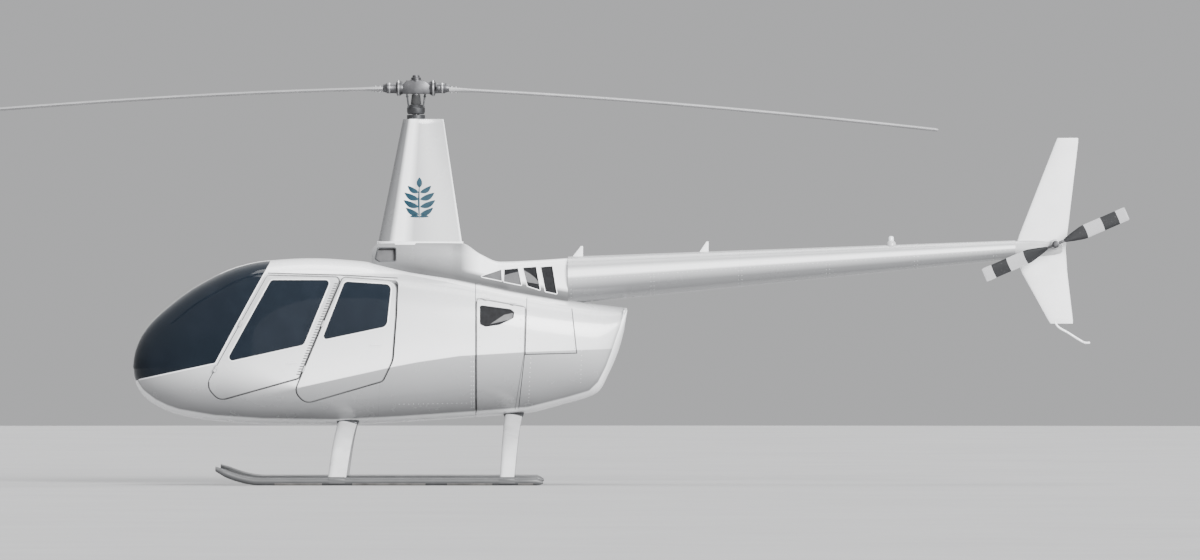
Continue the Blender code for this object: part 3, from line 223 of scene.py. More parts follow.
def skin_point(x, angle):
    """A point of the body's skin at station x, at an angle from the starboard side over the top."""
    bottom, top = body_bottom(x), body_top(x)
    widest = bottom + (top - bottom) * widest_share(x)
    upper = 0 <= angle % (2 * math.pi) <= math.pi
    power = top_power(x) if upper else bottom_power(x)
    across, up = abs(math.cos(angle)), abs(math.sin(angle))
    reach = (across**power + up**power) ** (-1 / power)
    height = top - widest if upper else widest - bottom
    return Vector((
        x, body_half_width(x) * reach * math.cos(angle), widest + height * reach * math.sin(angle),
    ))


def skin_stations(low, high):
    """Stations for a fine skin between two places: close together at the nose and the rear."""
    nose = [NOSE_X + (0.047 * i) ** 2 for i in range(1, 25)]
    middle = evenly(-1.33, 1.56, 60)
    rear = evenly(1.60, TAIL_X, 14)
    inside = [x for x in nose + middle + rear if low + 0.008 < x < high - 0.008]
    return [max(low, NOSE_X + 0.0005)] + inside + [min(high, TAIL_X)]


def rounded(corners, steps=6):
    """An outline from (x, z, radius) corners, each rounded by an arc."""
    outline = []
    for i, (x, z, radius) in enumerate(corners):
        corner = Vector((x, z))
        if radius == 0:
            outline.append(corner)
            continue
        before = (Vector(corners[i - 1][:2]) - corner).normalized()
        after = (Vector(corners[(i + 1) % len(corners)][:2]) - corner).normalized()
        half = before.angle(after) / 2
        centre = corner + (before + after).normalized() * radius / math.sin(half)
        start = corner + before * radius / math.tan(half) - centre
        end = corner + after * radius / math.tan(half) - centre
        for step in range(steps + 1):
            outline.append(centre + start.slerp(end, step / steps).normalized() * radius)
    return outline


def side_turn(outline):
    """Which way an outline runs: 1 or -1."""
    area = sum(outline[i - 1][0] * outline[i][1] - outline[i][0] * outline[i - 1][1]
               for i in range(len(outline)))
    return 1 if area > 0 else -1


def grown(outline, distance):
    """The outline moved outwards by a distance."""
    turn = side_turn(outline)
    moved = []
    for i, point in enumerate(outline):
        before = (point - outline[i - 1]).normalized()
        after = (outline[(i + 1) % len(outline)] - point).normalized()
        normal_a = Vector((before.y, -before.x)) * turn
        normal_b = Vector((after.y, -after.x)) * turn
        moved.append(point + (normal_a + normal_b) * distance / (1 + normal_a.dot(normal_b)))
    return moved


def edged(corners, distances):
    """The corners with each side moved out by its own distance, the first side following corner 0."""
    turn = side_turn(corners)
    sides = []
    for i, distance in enumerate(distances):
        start, end = Vector(corners[i][:2]), Vector(corners[(i + 1) % len(corners)][:2])
        along = (end - start).normalized()
        sides.append((start + Vector((along.y, -along.x)) * turn * distance, along))
    moved = []
    for i, corner in enumerate(corners):
        (point, along), (other, across) = sides[i - 1], sides[i]
        crossing = point + along * ((other - point).cross(across) / along.cross(across))
        radius = corner[2] and max(corner[2] + min(distances[i - 1], distances[i]), 0.015)
        moved.append((crossing.x, crossing.y, radius))
    return moved


# ---- Outlines in side view, as in the solids --------------------------------------------------

WINDSHIELD = [
    (-1.36, 2.4, 0), (-1.36, 2.066, 0), (-1.854, 1.136, 0.07), (-2.9, 0.905, 0), (-2.9, 2.4, 0),
]
FRONT_DOOR = [
    (-1.374, 1.953, 0.04), (-1.948, 0.919, 0.11), (-1.826, 0.784, 0.10), (-1.081, 0.993, 0.04),
    (-0.687, 1.935, 0.04),
]
FRONT_WINDOW = [
    (-1.343, 1.908, 0.035), (-1.766, 1.140, 0.03), (-1.034, 1.302, 0.05), (-0.785, 1.908, 0.03),
]
REAR_DOOR = [
    (-0.676, 1.935, 0.04), (-1.122, 0.869, 0.10), (-1.02, 0.757, 0.10), (-0.302, 0.966, 0.06),
    (-0.212, 1.154, 0.2), (-0.181, 1.570, 0), (-0.169, 1.897, 0.09),
]
REAR_FRAME = REAR_DOOR[:-1] + [(-0.169, 1.897, 0.035)]
REAR_WINDOW = [
    (-0.658, 1.895, 0.04), (-0.871, 1.345, 0.025), (-0.262, 1.473, 0.06), (-0.219, 1.866, 0.05),
]
COWL_DOOR = [
    (0.570, 1.740, 0.04), (0.570, 0.3, 0), (0.912, 0.3, 0), (1.016, 1.215, 0), (1.028, 1.656, 0.04),
]
ACCESS_PANEL = [
    (1.037, 1.64, 0), (1.025, 1.212, 0), (1.505, 1.224, 0), (1.452, 1.70, 0), (1.442, 1.9, 0),
    (1.04, 1.9, 0),
]
MIDDLE_SEAM = [
    (-0.197, 2.4), (-0.197, 1.897), (-0.209, 1.570), (-0.240, 1.150), (-0.330, 0.955), (-0.36, 0.3),
]
VENT = [
    (0.600, 1.675, 0.02), (0.600, 1.492, 0.03), (0.655, 1.470, 0.02), (0.785, 1.489, 0.05),
    (0.915, 1.552, 0.025), (0.923, 1.610, 0.02), (0.885, 1.638, 0.04),
]
FRONT_POCKET = (0.0085, 0.010, 0.010, 0.006, 0.006)
REAR_POCKET = (0.006, 0.010, 0.010, 0.010, 0.014, 0.014, 0.006)
FRONT_OPENING = (0.009, 0.0105, -RIM, -RIM, 0.0065)
REAR_OPENING = (0.0065, 0.0105, -RIM, -RIM, -RIM, -RIM, 0.0065)


# ---- Meshes -------------------------------------------------------------------------------------


def grid_mesh(rows, closed=False):
    """An open skin through rows of points of equal count."""
    mesh = bmesh.new()
    verts = [[mesh.verts.new(point) for point in row] for row in rows]
    count = len(rows[0])
    for near, far in zip(verts, verts[1:]):
        for i in range(count if closed else count - 1):
            j = (i + 1) % count
            mesh.faces.new((near[i], near[j], far[j], far[i]))
    return mesh


def skin_mesh(low, high, sides=(PORT, STARBOARD)):
    """The body's fine skin between two stations, whole or one half."""
    count = looks().around
    if len(sides) == 2:
        angles = [2 * math.pi * i / (2 * count) for i in range(2 * count)]
    elif sides[0] == PORT:
        angles = [math.pi / 2 + math.pi * i / count for i in range(count + 1)]
    else:
        angles = [-math.pi / 2 + math.pi * i / count for i in range(count + 1)]
    rows = [[skin_point(x, angle) for angle in angles] for x in skin_stations(low, high)]
    return grid_mesh(rows, closed=len(sides) == 2)


def flat_points(places):
    """Points as an array of (x, z), with |y| in a second array."""
    return np.array([(p.x, p.z) for p in places]), np.array([abs(p.y) for p in places])


def inside(outline, points):
    """Which (x, z) points lie inside an outline."""
    result = np.zeros(len(points), bool)
    for i in range(len(outline)):
        ax, az = outline[i - 1][:2]
        bx, bz = outline[i][:2]
        if az == bz:
            continue
        crosses = (az > points[:, 1]) != (bz > points[:, 1])
        reach = (bx - ax) * (points[:, 1] - az) / (bz - az) + ax
        result ^= crosses & (points[:, 0] < reach)
    return result


def near_faces(faces, low, high):
    """The faces whose box in side view meets a rectangle."""
    found = []
    for face in faces:
        xs = [vert.co.x for vert in face.verts]
        zs = [vert.co.z for vert in face.verts]
        if max(xs) >= low[0] and min(xs) <= high[0] and max(zs) >= low[1] and min(zs) <= high[1]:
            found.append(face)
    return found


def score(mesh, outline):
    """Cut a mesh's faces along an outline in side view."""
    corners = [Vector((point[0], point[1])) for point in outline]
    low = (min(p.x for p in corners), min(p.y for p in corners))
    high = (max(p.x for p in corners), max(p.y for p in corners))
    faces = set(near_faces(mesh.faces, low, high))
    for i, end in enumerate(corners):
        start = corners[i - 1]
        along = end - start
        if along.length < 1e-5:
            continue
        box_low = (min(start.x, end.x) - 0.001, min(start.y, end.y) - 0.001)
        box_high = (max(start.x, end.x) + 0.001, max(start.y, end.y) + 0.001)
        picked = near_faces([face for face in faces if face.is_valid], box_low, box_high)
        if not picked:
            continue
        edges = {edge for face in picked for edge in face.edges}
        verts = {vert for face in picked for vert in face.verts}
        result = bmesh.ops.bisect_plane(
            mesh, geom=picked + list(edges) + list(verts), dist=TOUCHING,
            plane_co=(start.x, 0, start.y), plane_no=(along.y, 0, -along.x),
        )
        faces.update(item for item in result["geom"] if isinstance(item, bmesh.types.BMFace))


def trim(mesh, keep=None, drop=(), inner=0.0):
    """Cut a skin to an outline, and cut holes through it where it lies beyond inner from the middle."""
    for outline in ([keep] if keep else []) + list(drop):
        score(mesh, outline)
    faces = list(mesh.faces)
    flat, aside = flat_points([face.calc_center_median() for face in faces])
    gone = np.zeros(len(faces), bool)
    if keep:
        gone |= ~inside(keep, flat)
    for outline in drop:
        gone |= inside(outline, flat) & (aside > inner)
    bmesh.ops.delete(mesh, geom=[face for face, out in zip(faces, gone) if out], context="FACES")
    return mesh


def slice_at(mesh, y, **rest):
    """Cut a whole mesh along an upright plane at a distance from the middle."""
    geometry = list(mesh.faces) + list(mesh.edges) + list(mesh.verts)
    bmesh.ops.bisect_plane(mesh, geom=geometry, dist=TOUCHING, plane_co=(0, y, 0), **rest)


def split_at_y(mesh, reach):
    """Cut a mesh at y = reach and y = -reach."""
    for y in (reach, -reach):
        slice_at(mesh, y, plane_no=(0, 1, 0))


def turn_out(mesh, outward):
    """Make every face point the way that outward(centre) gives."""
    flipped = [face for face in mesh.faces if face.normal.dot(outward(face.calc_center_median())) < 0]
    bmesh.ops.reverse_faces(mesh, faces=flipped)


def from_body_line(point):
    """The direction out from the body's middle line."""
    return Vector((0.15 * (point.x + 0.5), point.y, (point.z - 1.25)))


def thicken(mesh, depth, thickness):
    """Make a closed panel of an open skin: its outside at depth below the skin, and its thickness."""
    bmesh.ops.remove_doubles(mesh, verts=mesh.verts, dist=1e-5)
    mesh.normal_update()
    normals = {vert: vert.normal.copy() for vert in mesh.verts}
    outer_faces = list(mesh.faces)
    border = [edge for edge in mesh.edges if edge.is_boundary]
    inner = {vert: mesh.verts.new(vert.co - normals[vert] * (depth + thickness)) for vert in normals}
    for vert, normal in normals.items():
        vert.co -= normal * depth
    for face in outer_faces:
        mesh.faces.new([inner[vert] for vert in reversed(face.verts)])
    for edge in border:
        loop = edge.link_loops[0]
        a, b = loop.vert, loop.link_loop_next.vert
        mesh.faces.new((b, a, inner[a], inner[b]))
    return mesh


def mirrored(mesh):
    """A copy of a mesh on the other side of the aircraft."""
    copy = mesh.copy()
    for vert in copy.verts:
        vert.co.y = -vert.co.y
    bmesh.ops.reverse_faces(copy, faces=copy.faces)
    return copy


def on_side(mesh, side):
    """A copy of a starboard mesh on the side that is asked for."""
    return mirrored(mesh) if side == PORT else mesh.copy()


def add_part(mesh, other):
    """Add another mesh's faces to a mesh, and free the other."""
    verts = {vert: mesh.verts.new(vert.co) for vert in other.verts}
    for face in other.faces:
        mesh.faces.new([verts[vert] for vert in face.verts])
    other.free()
    return mesh


def loft(rings, caps=True):
    """A closed form through rings of equal count, with flat ends."""
    mesh = grid_mesh(rings, closed=True)
    if caps:
        mesh.verts.ensure_lookup_table()
        count = len(rings[0])
        mesh.faces.new([mesh.verts[i] for i in reversed(range(count))])
        mesh.faces.new([mesh.verts[i] for i in range(len(mesh.verts) - count, len(mesh.verts))])
    bmesh.ops.recalc_face_normals(mesh, faces=mesh.faces)
    return mesh


def circle(radius, sides=24, flat=1.0):
    """Points of a circle, or of an ellipse with flat below 1."""
    step = 2 * math.pi / sides
    return [(radius * math.cos(i * step), radius * flat * math.sin(i * step)) for i in range(sides)]


def turned(profile, centre, axis="Z", sides=32):
    """A form turned about an axis, from (radius, height) points."""
    rings = []
    centre = Vector(centre)
    for radius, height in profile:
        ring = []
        for a, b in circle(radius, sides):
            offset = {"Z": (a, b, height), "Y": (a, height, b), "X": (height, a, b)}[axis]
            ring.append(centre + Vector(offset))
        rings.append(ring)
    return loft(rings)


def sweep(path, sections):
    """A form through sections of (side, up) points set square to the path."""
    path = [Vector(point) for point in path]
    rings = []
    for i, (place, section) in enumerate(zip(path, sections)):
        along = (path[min(i + 1, len(path) - 1)] - path[max(i - 1, 0)]).normalized()
        guide = Vector((1, 0, 0)) if abs(along.x) < 0.9 else Vector((0, 1, 0))
        up = along.cross(guide).normalized()
        side = up.cross(along).normalized()
        rings.append([place + side * a + up * b for a, b in section])
    return loft(rings)


def tube(path, radius, sides=16):
    """A round bar along a path."""
    return sweep(path, [circle(radius, sides)] * len(path))


def curved(points, steps=8):
    """More points along a smooth curve through the given ones."""
    points = [Vector(point) for point in points]
    padded = [points[0] * 2 - points[1]] + points + [points[-1] * 2 - points[-2]]
    result = []
    for i in range(1, len(padded) - 2):
        p0, p1, p2, p3 = padded[i - 1 : i + 3]
        for step in range(steps):
            t = step / steps
            result.append(
                0.5 * (2 * p1 + (p2 - p0) * t + (2 * p0 - 5 * p1 + 4 * p2 - p3) * t * t
                       + (3 * p1 - p0 - 3 * p2 + p3) * t**3)
            )
    return result + [points[-1]]


def streamlined(front, rear, thick, count=14, end=0.003):
    """An aerofoil outline, blunt in front and fine behind."""
    half = []
    for i in range(count + 1):
        share = (1 - math.cos(math.pi * i / count)) / 2
        width = 2.969 * math.sqrt(share) - 1.26 * share - 3.516 * share**2 + 2.843 * share**3
        half.append((front + (rear - front) * share, thick / 2 * (width - 1.015 * share**4)))
    upper = half[1:-1]
    tail = [(half[-1][0], end), (half[-1][0], -end)]
    return [(half[0][0], 0.0)] + upper + tail + [(x, -y) for x, y in reversed(upper)]


def block(low, high, bevel=0.004, segments=2):
    """A box with rounded edges."""
    mesh = bmesh.new()
    bmesh.ops.create_cube(mesh, size=1.0)
    size = Vector(high) - Vector(low)
    centre = (Vector(high) + Vector(low)) / 2
    for vert in mesh.verts:
        vert.co = Vector((vert.co.x * size.x, vert.co.y * size.y, vert.co.z * size.z)) + centre
    if bevel:
        bmesh.ops.bevel(
            mesh, geom=list(mesh.edges), offset=bevel, segments=segments, affect="EDGES", profile=0.5,
        )
    return mesh


def plate(outline, low, high, axis="Y", bevel=0.0):
    """A flat piece of an outline's shape, run from low to high along an axis."""
    rings = []
    for depth in (low, high):
        if axis == "Y":
            rings.append([Vector((p[0], depth, p[1])) for p in outline])
        elif axis == "X":
            rings.append([Vector((depth, p[0], p[1])) for p in outline])
        else:
            rings.append([Vector((p[0], p[1], depth)) for p in outline])
    mesh = loft(rings)
    if bevel:
        edges = [edge for edge in mesh.edges if edge.calc_face_angle(0) > 1.2]
        bmesh.ops.bevel(mesh, geom=edges, offset=bevel, segments=2, affect="EDGES", profile=0.5)
    return mesh


def level_ring(outline, z):
    """A ring at a height, from an outline in plan."""
    return [Vector((x, y, z)) for x, y in outline]


def evenly(low, high, count):
    """Evenly spaced numbers from one to another."""
    return [float(value) for value in np.linspace(low, high, count)]


def finish(mesh, name, material, body="airframe", replaces=(), sharp=32):
    """Make a mesh a piece of the model, at its place, on its body, with its finish."""
    bmesh.ops.transform(mesh, matrix=Matrix.Translation((MAST_X, 0, 0)), verts=mesh.verts)
    data = bpy.data.meshes.new(name)
    mesh.to_mesh(data)
    mesh.free()
    data.shade_smooth()
    data.set_sharp_from_angle(angle=math.radians(sharp))
    data.materials.append(material)
    item = bpy.data.objects.new(name, data)
    bpy.context.scene.collection.objects.link(item)
    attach(item, body)
    if replaces:
        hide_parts(*replaces)
    return item


def repaint(node, material):
    """Give a carried-over solid a finer material."""
    item = frame["nodes"][node]
    item.data.materials.clear()
    item.data.materials.append(material)
    item.data.shade_smooth()


# ---- Finishes -----------------------------------------------------------------------------------


def add_node(tree, kind, **settings):
    """Add a shader or geometry node, with its properties set."""
    item = tree.nodes.new(kind)
    for name, value in settings.items():
        setattr(item, name, value)
    return item


def noise(tree, place, scale, detail=4.0, roughness=0.55, seed=0.0):
    """A noise texture over object coordinates."""
    item = add_node(tree, "ShaderNodeTexNoise", noise_dimensions="4D")
    item.inputs["W"].default_value = seed
    item.inputs["Scale"].default_value = scale
    item.inputs["Detail"].default_value = detail
    item.inputs["Roughness"].default_value = roughness
    tree.links.new(place, item.inputs["Vector"])
    return item.outputs["Fac"]


def remap(tree, value, low, high, to_low, to_high, smooth=False):
    """Map a value from one range to another, held at the ends."""
    item = add_node(tree, "ShaderNodeMapRange", clamp=True)
    if smooth:
        item.interpolation_type = "SMOOTHSTEP"
    ends = {"From Min": low, "From Max": high, "To Min": to_low, "To Max": to_high}
    for name, number in ends.items():
        if isinstance(number, (int, float)):
            item.inputs[name].default_value = number
        else:
            tree.links.new(number, item.inputs[name])
    tree.links.new(value, item.inputs["Value"])
    return item.outputs["Result"]


def mix(tree, factor, a, b, blend="MIX"):
    """Mix two colours; each is a socket or a colour."""
    item = add_node(tree, "ShaderNodeMix", data_type="RGBA", blend_type=blend, clamp_factor=True)
    for socket, value in ((item.inputs[0], factor), (item.inputs[6], a), (item.inputs[7], b)):
        if isinstance(value, bpy.types.NodeSocket):
            tree.links.new(value, socket)
        elif isinstance(value, (int, float)):
            socket.default_value = value
        else:
            socket.default_value = (*value, 1.0)
    return item.outputs[2]


def calc(tree, operation, a, b):
    """One step of arithmetic on numbers or sockets."""
    item = add_node(tree, "ShaderNodeMath", operation=operation)
    for socket, value in zip(item.inputs, (a, b)):
        if isinstance(value, (int, float)):
            socket.default_value = value
        else:
            tree.links.new(value, socket)
    return item.outputs[0]


def times(tree, first, *rest):
    """The product of sockets."""
    for value in rest:
        first = calc(tree, "MULTIPLY", first, value)
    return first


def steps_ramp(tree, value, stops, constant=False):
    """A colour ramp over (place, colour) stops."""
    item = add_node(tree, "ShaderNodeValToRGB")
    ramp = item.color_ramp
    ramp.interpolation = "CONSTANT" if constant else "LINEAR"
    while len(ramp.elements) < len(stops):
        ramp.elements.new(1.0)
    for element, (place, colour) in zip(ramp.elements, sorted(stops)):
        element.position = place
        element.color = (*colour, 1.0)
    tree.links.new(value, item.inputs["Fac"])
    return item.outputs["Color"]


def new_finish(name, metallic=0.0, specular=0.5, coat=0.0, coat_roughness=0.05, sheen=0.0):
    """A material, its tree, its shader and its object coordinates."""
    material = bpy.data.materials.new(name)
    material.use_nodes = True
    tree = material.node_tree
    shader = tree.nodes["Principled BSDF"]
    shader.inputs["Metallic"].default_value = metallic
    shader.inputs["Specular IOR Level"].default_value = specular
    shader.inputs["Coat Weight"].default_value = coat
    shader.inputs["Coat Roughness"].default_value = coat_roughness
    shader.inputs["Sheen Weight"].default_value = sheen
    coordinates = add_node(tree, "ShaderNodeTexCoord")
    mapping = add_node(tree, "ShaderNodeMapping")
    mapping.inputs["Location"].default_value = (-MAST_X, 0, 0)
    tree.links.new(coordinates.outputs["Object"], mapping.inputs["Vector"])
    return material, tree, shader, mapping.outputs["Vector"]


def surface(tree, shader, place, roughness, wear_scale, bump, bump_scale, distance=0.0006,
            stretch=None):
    """Give a finish its uneven gloss and fine relief."""
    worn = noise(tree, place, wear_scale, 5.0, 0.6, 2.0)
    tree.links.new(remap(tree, worn, 0.3, 0.7, *roughness), shader.inputs["Roughness"])
    if stretch:
        scaled = add_node(tree, "ShaderNodeVectorMath", operation="MULTIPLY")
        scaled.inputs[1].default_value = stretch
        tree.links.new(place, scaled.inputs[0])
        place = scaled.outputs["Vector"]
    grain = noise(tree, place, bump_scale, 3.0, 0.5, 5.0)
    relief = add_node(tree, "ShaderNodeBump")
    relief.inputs["Strength"].default_value = bump
    relief.inputs["Distance"].default_value = distance
    tree.links.new(grain, relief.inputs["Height"])
    tree.links.new(relief.outputs["Normal"], shader.inputs["Normal"])
    return relief


def simple_finish(name, colour, dark, roughness, scale=3.0, bump=0.25, bump_scale=90.0, **rest):
    """A finish of one colour with drifts of a darker one, uneven gloss and fine relief."""
    stretch = rest.pop("stretch", None)
    distance = rest.pop("distance", 0.0006)
    material, tree, shader, place = new_finish(name, **rest)
    drift = remap(tree, noise(tree, place, scale, 5.0, 0.6), 0.38, 0.68, 0.0, 1.0)
    tree.links.new(mix(tree, drift, colour, dark), shader.inputs["Base Color"])
    surface(tree, shader, place, roughness, scale * 2.3, bump, bump_scale, distance, stretch)
    return material


# Lines on the body's side that its painted light and shade follow, and the depth of the painted shadow under
# the cowl.
DEEP_SHADE = 0.45
SHOULDER = [
    (-0.6, 2.08), (-0.1, 1.99), (0.084, 1.96), (0.27, 1.925), (0.60, 1.853), (0.88, 1.793), (1.16, 1.743),
    (1.42, 1.70), (1.97, 1.60),
]
CREASE = [
    (-2.6, 1.00), (-1.75, 0.99), (-1.30, 0.925), (-1.077, 0.907), (-0.196, 1.101), (0.037, 1.145),
    (0.411, 1.200), (1.028, 1.236), (1.818, 1.265), (2.1, 1.275),
]
KEEL = [
    (x, body_bottom(x)) for x in (
        -2.64, -2.6, -2.542, -2.43, -2.32, -2.206, -1.869, -1.421, -0.748, -0.15, 0.56, 1.047, 1.383,
        1.607, 1.70, 1.77, 1.83, 1.90, 1.944, 1.97,
    )
]


def above_line(tree, along, height, points):
    """How far a place lies above a line on the body's side, from the line's (x, z) points."""
    low, high = points[0][0], points[-1][0]
    share = remap(tree, along, low, high, 0.0, 1.0)
    stops = [((x - low) / (high - low), (z / 2.5,) * 3) for x, z in points]
    line = calc(tree, "MULTIPLY", steps_ramp(tree, share, stops), 2.5)
    return calc(tree, "SUBTRACT", height, line)


def tones(*names):
    """Colours of the settings, by name."""
    return [tuple(getattr(looks(), name)) for name in names]


def gloss_coat(name):
    """A clear-coated material: what new_finish gives, with the places' x and z as well."""
    material, tree, shader, place = new_finish(name, 0.0, 0.45, 0.35)
    split = add_node(tree, "ShaderNodeSeparateXYZ")
    tree.links.new(place, split.inputs["Vector"])
    return material, tree, shader, place, split.outputs["X"], split.outputs["Z"]


def gloss_top(tree, shader, place, tone, scale):
    """Finish a gloss paint: faint dusty drifts over its tone, uneven gloss and fine relief."""
    drift = remap(tree, noise(tree, place, scale, 5.0, 0.6), 0.35, 0.7, 0.0, 0.06)
    tree.links.new(mix(tree, drift, tone, (0.24, 0.24, 0.235)), shader.inputs["Base Color"])
    surface(tree, shader, place, (0.22, 0.30), 4.0, 0.03, 130.0, 0.0004)


def dull(tree, shader, share):
    """Take the shine off a finish where a share is high, so that a painted shadow there reads darker."""
    tree.links.new(remap(tree, share, 0.0, 0.8, 0.45, 0.04), shader.inputs["Specular IOR Level"])
    tree.links.new(remap(tree, share, 0.0, 0.8, 0.35, 0.0), shader.inputs["Coat Weight"])


def body_paint():
    """Gloss paint with painted light and shade: lighter above the side crease, painted shade below it
    darkening towards the belly, painted shade towards the shoulder, the nose and the rear, a painted shadow
    under the raised cowl, and painted highlights along the shoulder and the keel.
    """
    upper, lower, belly, shade = tones("upper_paint", "lower_shade_paint", "belly_shade_paint", "shade_paint")
    material, tree, shader, place, along, height = gloss_coat("body_gloss_paint")

    over = above_line(tree, along, height, CREASE)
    softness = remap(tree, along, -1.55, -1.06, 0.20, 0.005)
    above = remap(tree, over, calc(tree, "MULTIPLY", softness, -1.0), softness, 0.0, 1.0, smooth=True)
    # Painted shade: the upper paint greys towards the shoulder, the nose and the rear; the roof keeps the
    # upper paint.
    light = mix(tree, remap(tree, over, 0.06, 0.74, 0.0, 0.80), upper, shade)
    light = mix(tree, remap(tree, along, -2.3, -0.95, 0.75, 0.0), light, shade)
    light = mix(tree, remap(tree, along, 0.9, 1.9, 0.0, 0.55), light, shade)
    roof = times(
        tree, remap(tree, height, 1.955, 1.975, 0.0, 1.0), remap(tree, along, -0.12, -0.02, 1.0, 0.0),
    )
    light = mix(tree, roof, light, upper)
    # Painted shade below the crease, darkening towards the belly and fading towards the rear.
    dark = mix(tree, remap(tree, height, 0.60, 1.22, 0.0, 1.0), belly, lower)
    aft_fade = times(
        tree, remap(tree, along, 1.1, 1.85, 0.0, 0.75), remap(tree, height, 0.95, 1.25, 0.0, 1.0),
    )
    dark = mix(tree, aft_fade, dark, shade)
    whole = mix(tree, above, dark, light)

    # Painted shadow on the deck edge under the raised cowl, with its shine taken off, and a painted highlight
    # on the shoulder just below it.
    deck = above_line(tree, along, height, SHOULDER)
    aft = times(tree, remap(tree, along, -0.30, 0.05, 0.0, 1.0), remap(tree, along, 1.39, 1.43, 1.0, 0.0))
    foot = times(
        tree, aft, remap(tree, deck, 0.0, 0.012, 0.0, 0.9), remap(tree, deck, 0.06, 0.22, 1.0, 0.2),
    )
    deep = tuple(value * DEEP_SHADE for value in belly)
    whole = mix(tree, foot, whole, deep)
    dull(tree, shader, foot)
    shoulder_highlight = times(
        tree, aft, remap(tree, deck, -0.036, -0.028, 0.0, 1.0), remap(tree, deck, -0.004, 0.0, 1.0, 0.0),
    )
    whole = mix(tree, shoulder_highlight, whole, upper)

    # Painted highlight along the keel, with a painted dark line of shade just above it.
    low = above_line(tree, along, height, KEEL)
    width = remap(tree, along, 1.62, 1.88, 0.048, 0.17)
    inner = calc(tree, "ADD", width, 0.016)
    outer = calc(tree, "ADD", inner, remap(tree, along, 1.62, 1.88, 0.03, 0.09))
    keel_shade_line = times(tree, remap(tree, low, width, inner, 0.0, 0.6), remap(tree, low, inner, outer, 1.0, 0.0))
    whole = mix(tree, keel_shade_line, whole, belly)
    whole = mix(tree, remap(tree, low, width, inner, 1.0, 0.0), whole, upper)
    gloss_top(tree, shader, place, whole, 2.2)
    return material


def plain_paint(name="gloss_paint", shade=1.0, scale=2.0):
    """Gloss paint of the upper colour, a little uneven."""
    colour = tuple(value * shade for value in looks().upper_paint)
    dark = tuple(value * 0.88 for value in colour)
    return simple_finish(name, colour, dark, (0.20, 0.36), scale, 0.06, 120.0, coat=0.35, distance=0.0004)


def cowl_paint():
    """Gloss paint of the raised cowl in painted shade: darker overall, a painted shadow at its foot, painted
    shade at its front and under the fairing, and a painted highlight on the wedge ahead of the intakes.
    """
    upper, belly, shade = tones("upper_paint", "belly_shade_paint", "shade_paint")
    material, tree, shader, place, along, height = gloss_coat("cowl_gloss_paint")
    deck = above_line(tree, along, height, SHOULDER)
    # Painted shade: the whole cowl takes a darkened upper tone, with a painted shadow towards its foot and
    # painted shade at its front and under the fairing.
    deep = tuple(value * DEEP_SHADE for value in belly)
    foot = remap(tree, deck, 0.04, 0.26, 0.97, 0.0)
    whole = mix(tree, foot, tuple(value * 0.85 for value in shade), deep)
    dull(tree, shader, foot)
    whole = mix(tree, remap(tree, along, 0.05, -0.40, 0.0, 0.7), whole, belly)
    whole = mix(tree, remap(tree, height, 2.14, 2.25, 0.0, 0.8), whole, belly)
    # Painted highlight on the pale wedge ahead of the intakes.
    wedge_highlight = times(
        tree, remap(tree, along, 0.42, 0.60, 0.0, 1.0), remap(tree, deck, 0.09, 0.13, 0.0, 1.0),
    )
    whole = mix(tree, wedge_highlight, whole, upper)
    gloss_top(tree, shader, place, whole, 2.2)
    return material


def fairing_paint():
    """Gloss paint of the mast fairing in painted light and shade: painted shade on the leading edge, a
    painted highlight on the ridge behind it, painted shade over the flanks, and the upper paint at the rear
    edge.
    """
    material, tree, shader, place, along, height = gloss_coat("fairing_gloss_paint")
    rise = calc(tree, "SUBTRACT", height, FAIRING_BASE_Z)
    front = calc(tree, "MULTIPLY_ADD", rise, 0.2019)
    front.node.inputs[2].default_value = -0.355
    chord = calc(tree, "MULTIPLY_ADD", rise, -0.3512)
    chord.node.inputs[2].default_value = 0.785
    share = calc(tree, "DIVIDE", calc(tree, "SUBTRACT", along, front), chord)
    upper, belly, shade = tones("upper_paint", "belly_shade_paint", "shade_paint")
    grey = tuple(value * 1.02 for value in shade)
    # Painted shade and highlight across the chord: dark leading edge, pale ridge, grey flanks.
    tone = steps_ramp(tree, share, [
        (0.0, belly), (0.13, belly), (0.20, upper), (0.30, upper), (0.42, grey), (0.97, grey), (1.0, upper),
    ])
    gloss_top(tree, shader, place, tone, 1.8)
    return material


def boom_paint():
    """Gloss paint of the tail boom in painted light and shade: a painted highlight band along its upper side,
    painted shade above it, and painted shade that darkens beneath.
    """
    upper, lower, belly, shade = tones("upper_paint", "lower_shade_paint", "belly_shade_paint", "shade_paint")
    material, tree, shader, place, along, height = gloss_coat("boom_gloss_paint")
    middle = remap(tree, along, CONE_FRONT_X, CONE_REAR_X, *CONE_HEIGHTS)
    radius = remap(tree, along, CONE_FRONT_X, CONE_REAR_X, *CONE_RADII)
    level = calc(tree, "DIVIDE", calc(tree, "SUBTRACT", height, middle), radius)
    # Painted highlight and shade by height round the boom.
    tone = steps_ramp(tree, remap(tree, level, -1.0, 1.0, 0.0, 1.0), [
        (0.05, lower), (0.14, belly), (0.30, belly), (0.43, lower), (0.53, shade), (0.59, upper),
        (0.68, upper), (0.78, shade), (1.0, shade),
    ])
    gloss_top(tree, shader, place, tone, 1.8)
    return material


def window_glass():
    """Dark tinted acrylic with faint smears."""
    material, tree, shader, place = new_finish("dark_window_acrylic", 0.0, 0.10)
    tint = tuple(looks().glass_tint)
    haze = remap(tree, noise(tree, place, 3.5, 6.0, 0.65), 0.45, 0.75, 0.0, 0.35)
    tree.links.new(mix(tree, haze, tint, tuple(v * 1.7 + 0.004 for v in tint)), shader.inputs["Base Color"])
    shader.inputs["Alpha"].default_value = 0.88
    surface(tree, shader, place, (0.03, 0.10), 7.0, 0.008, 3.0, 0.002)
    return material


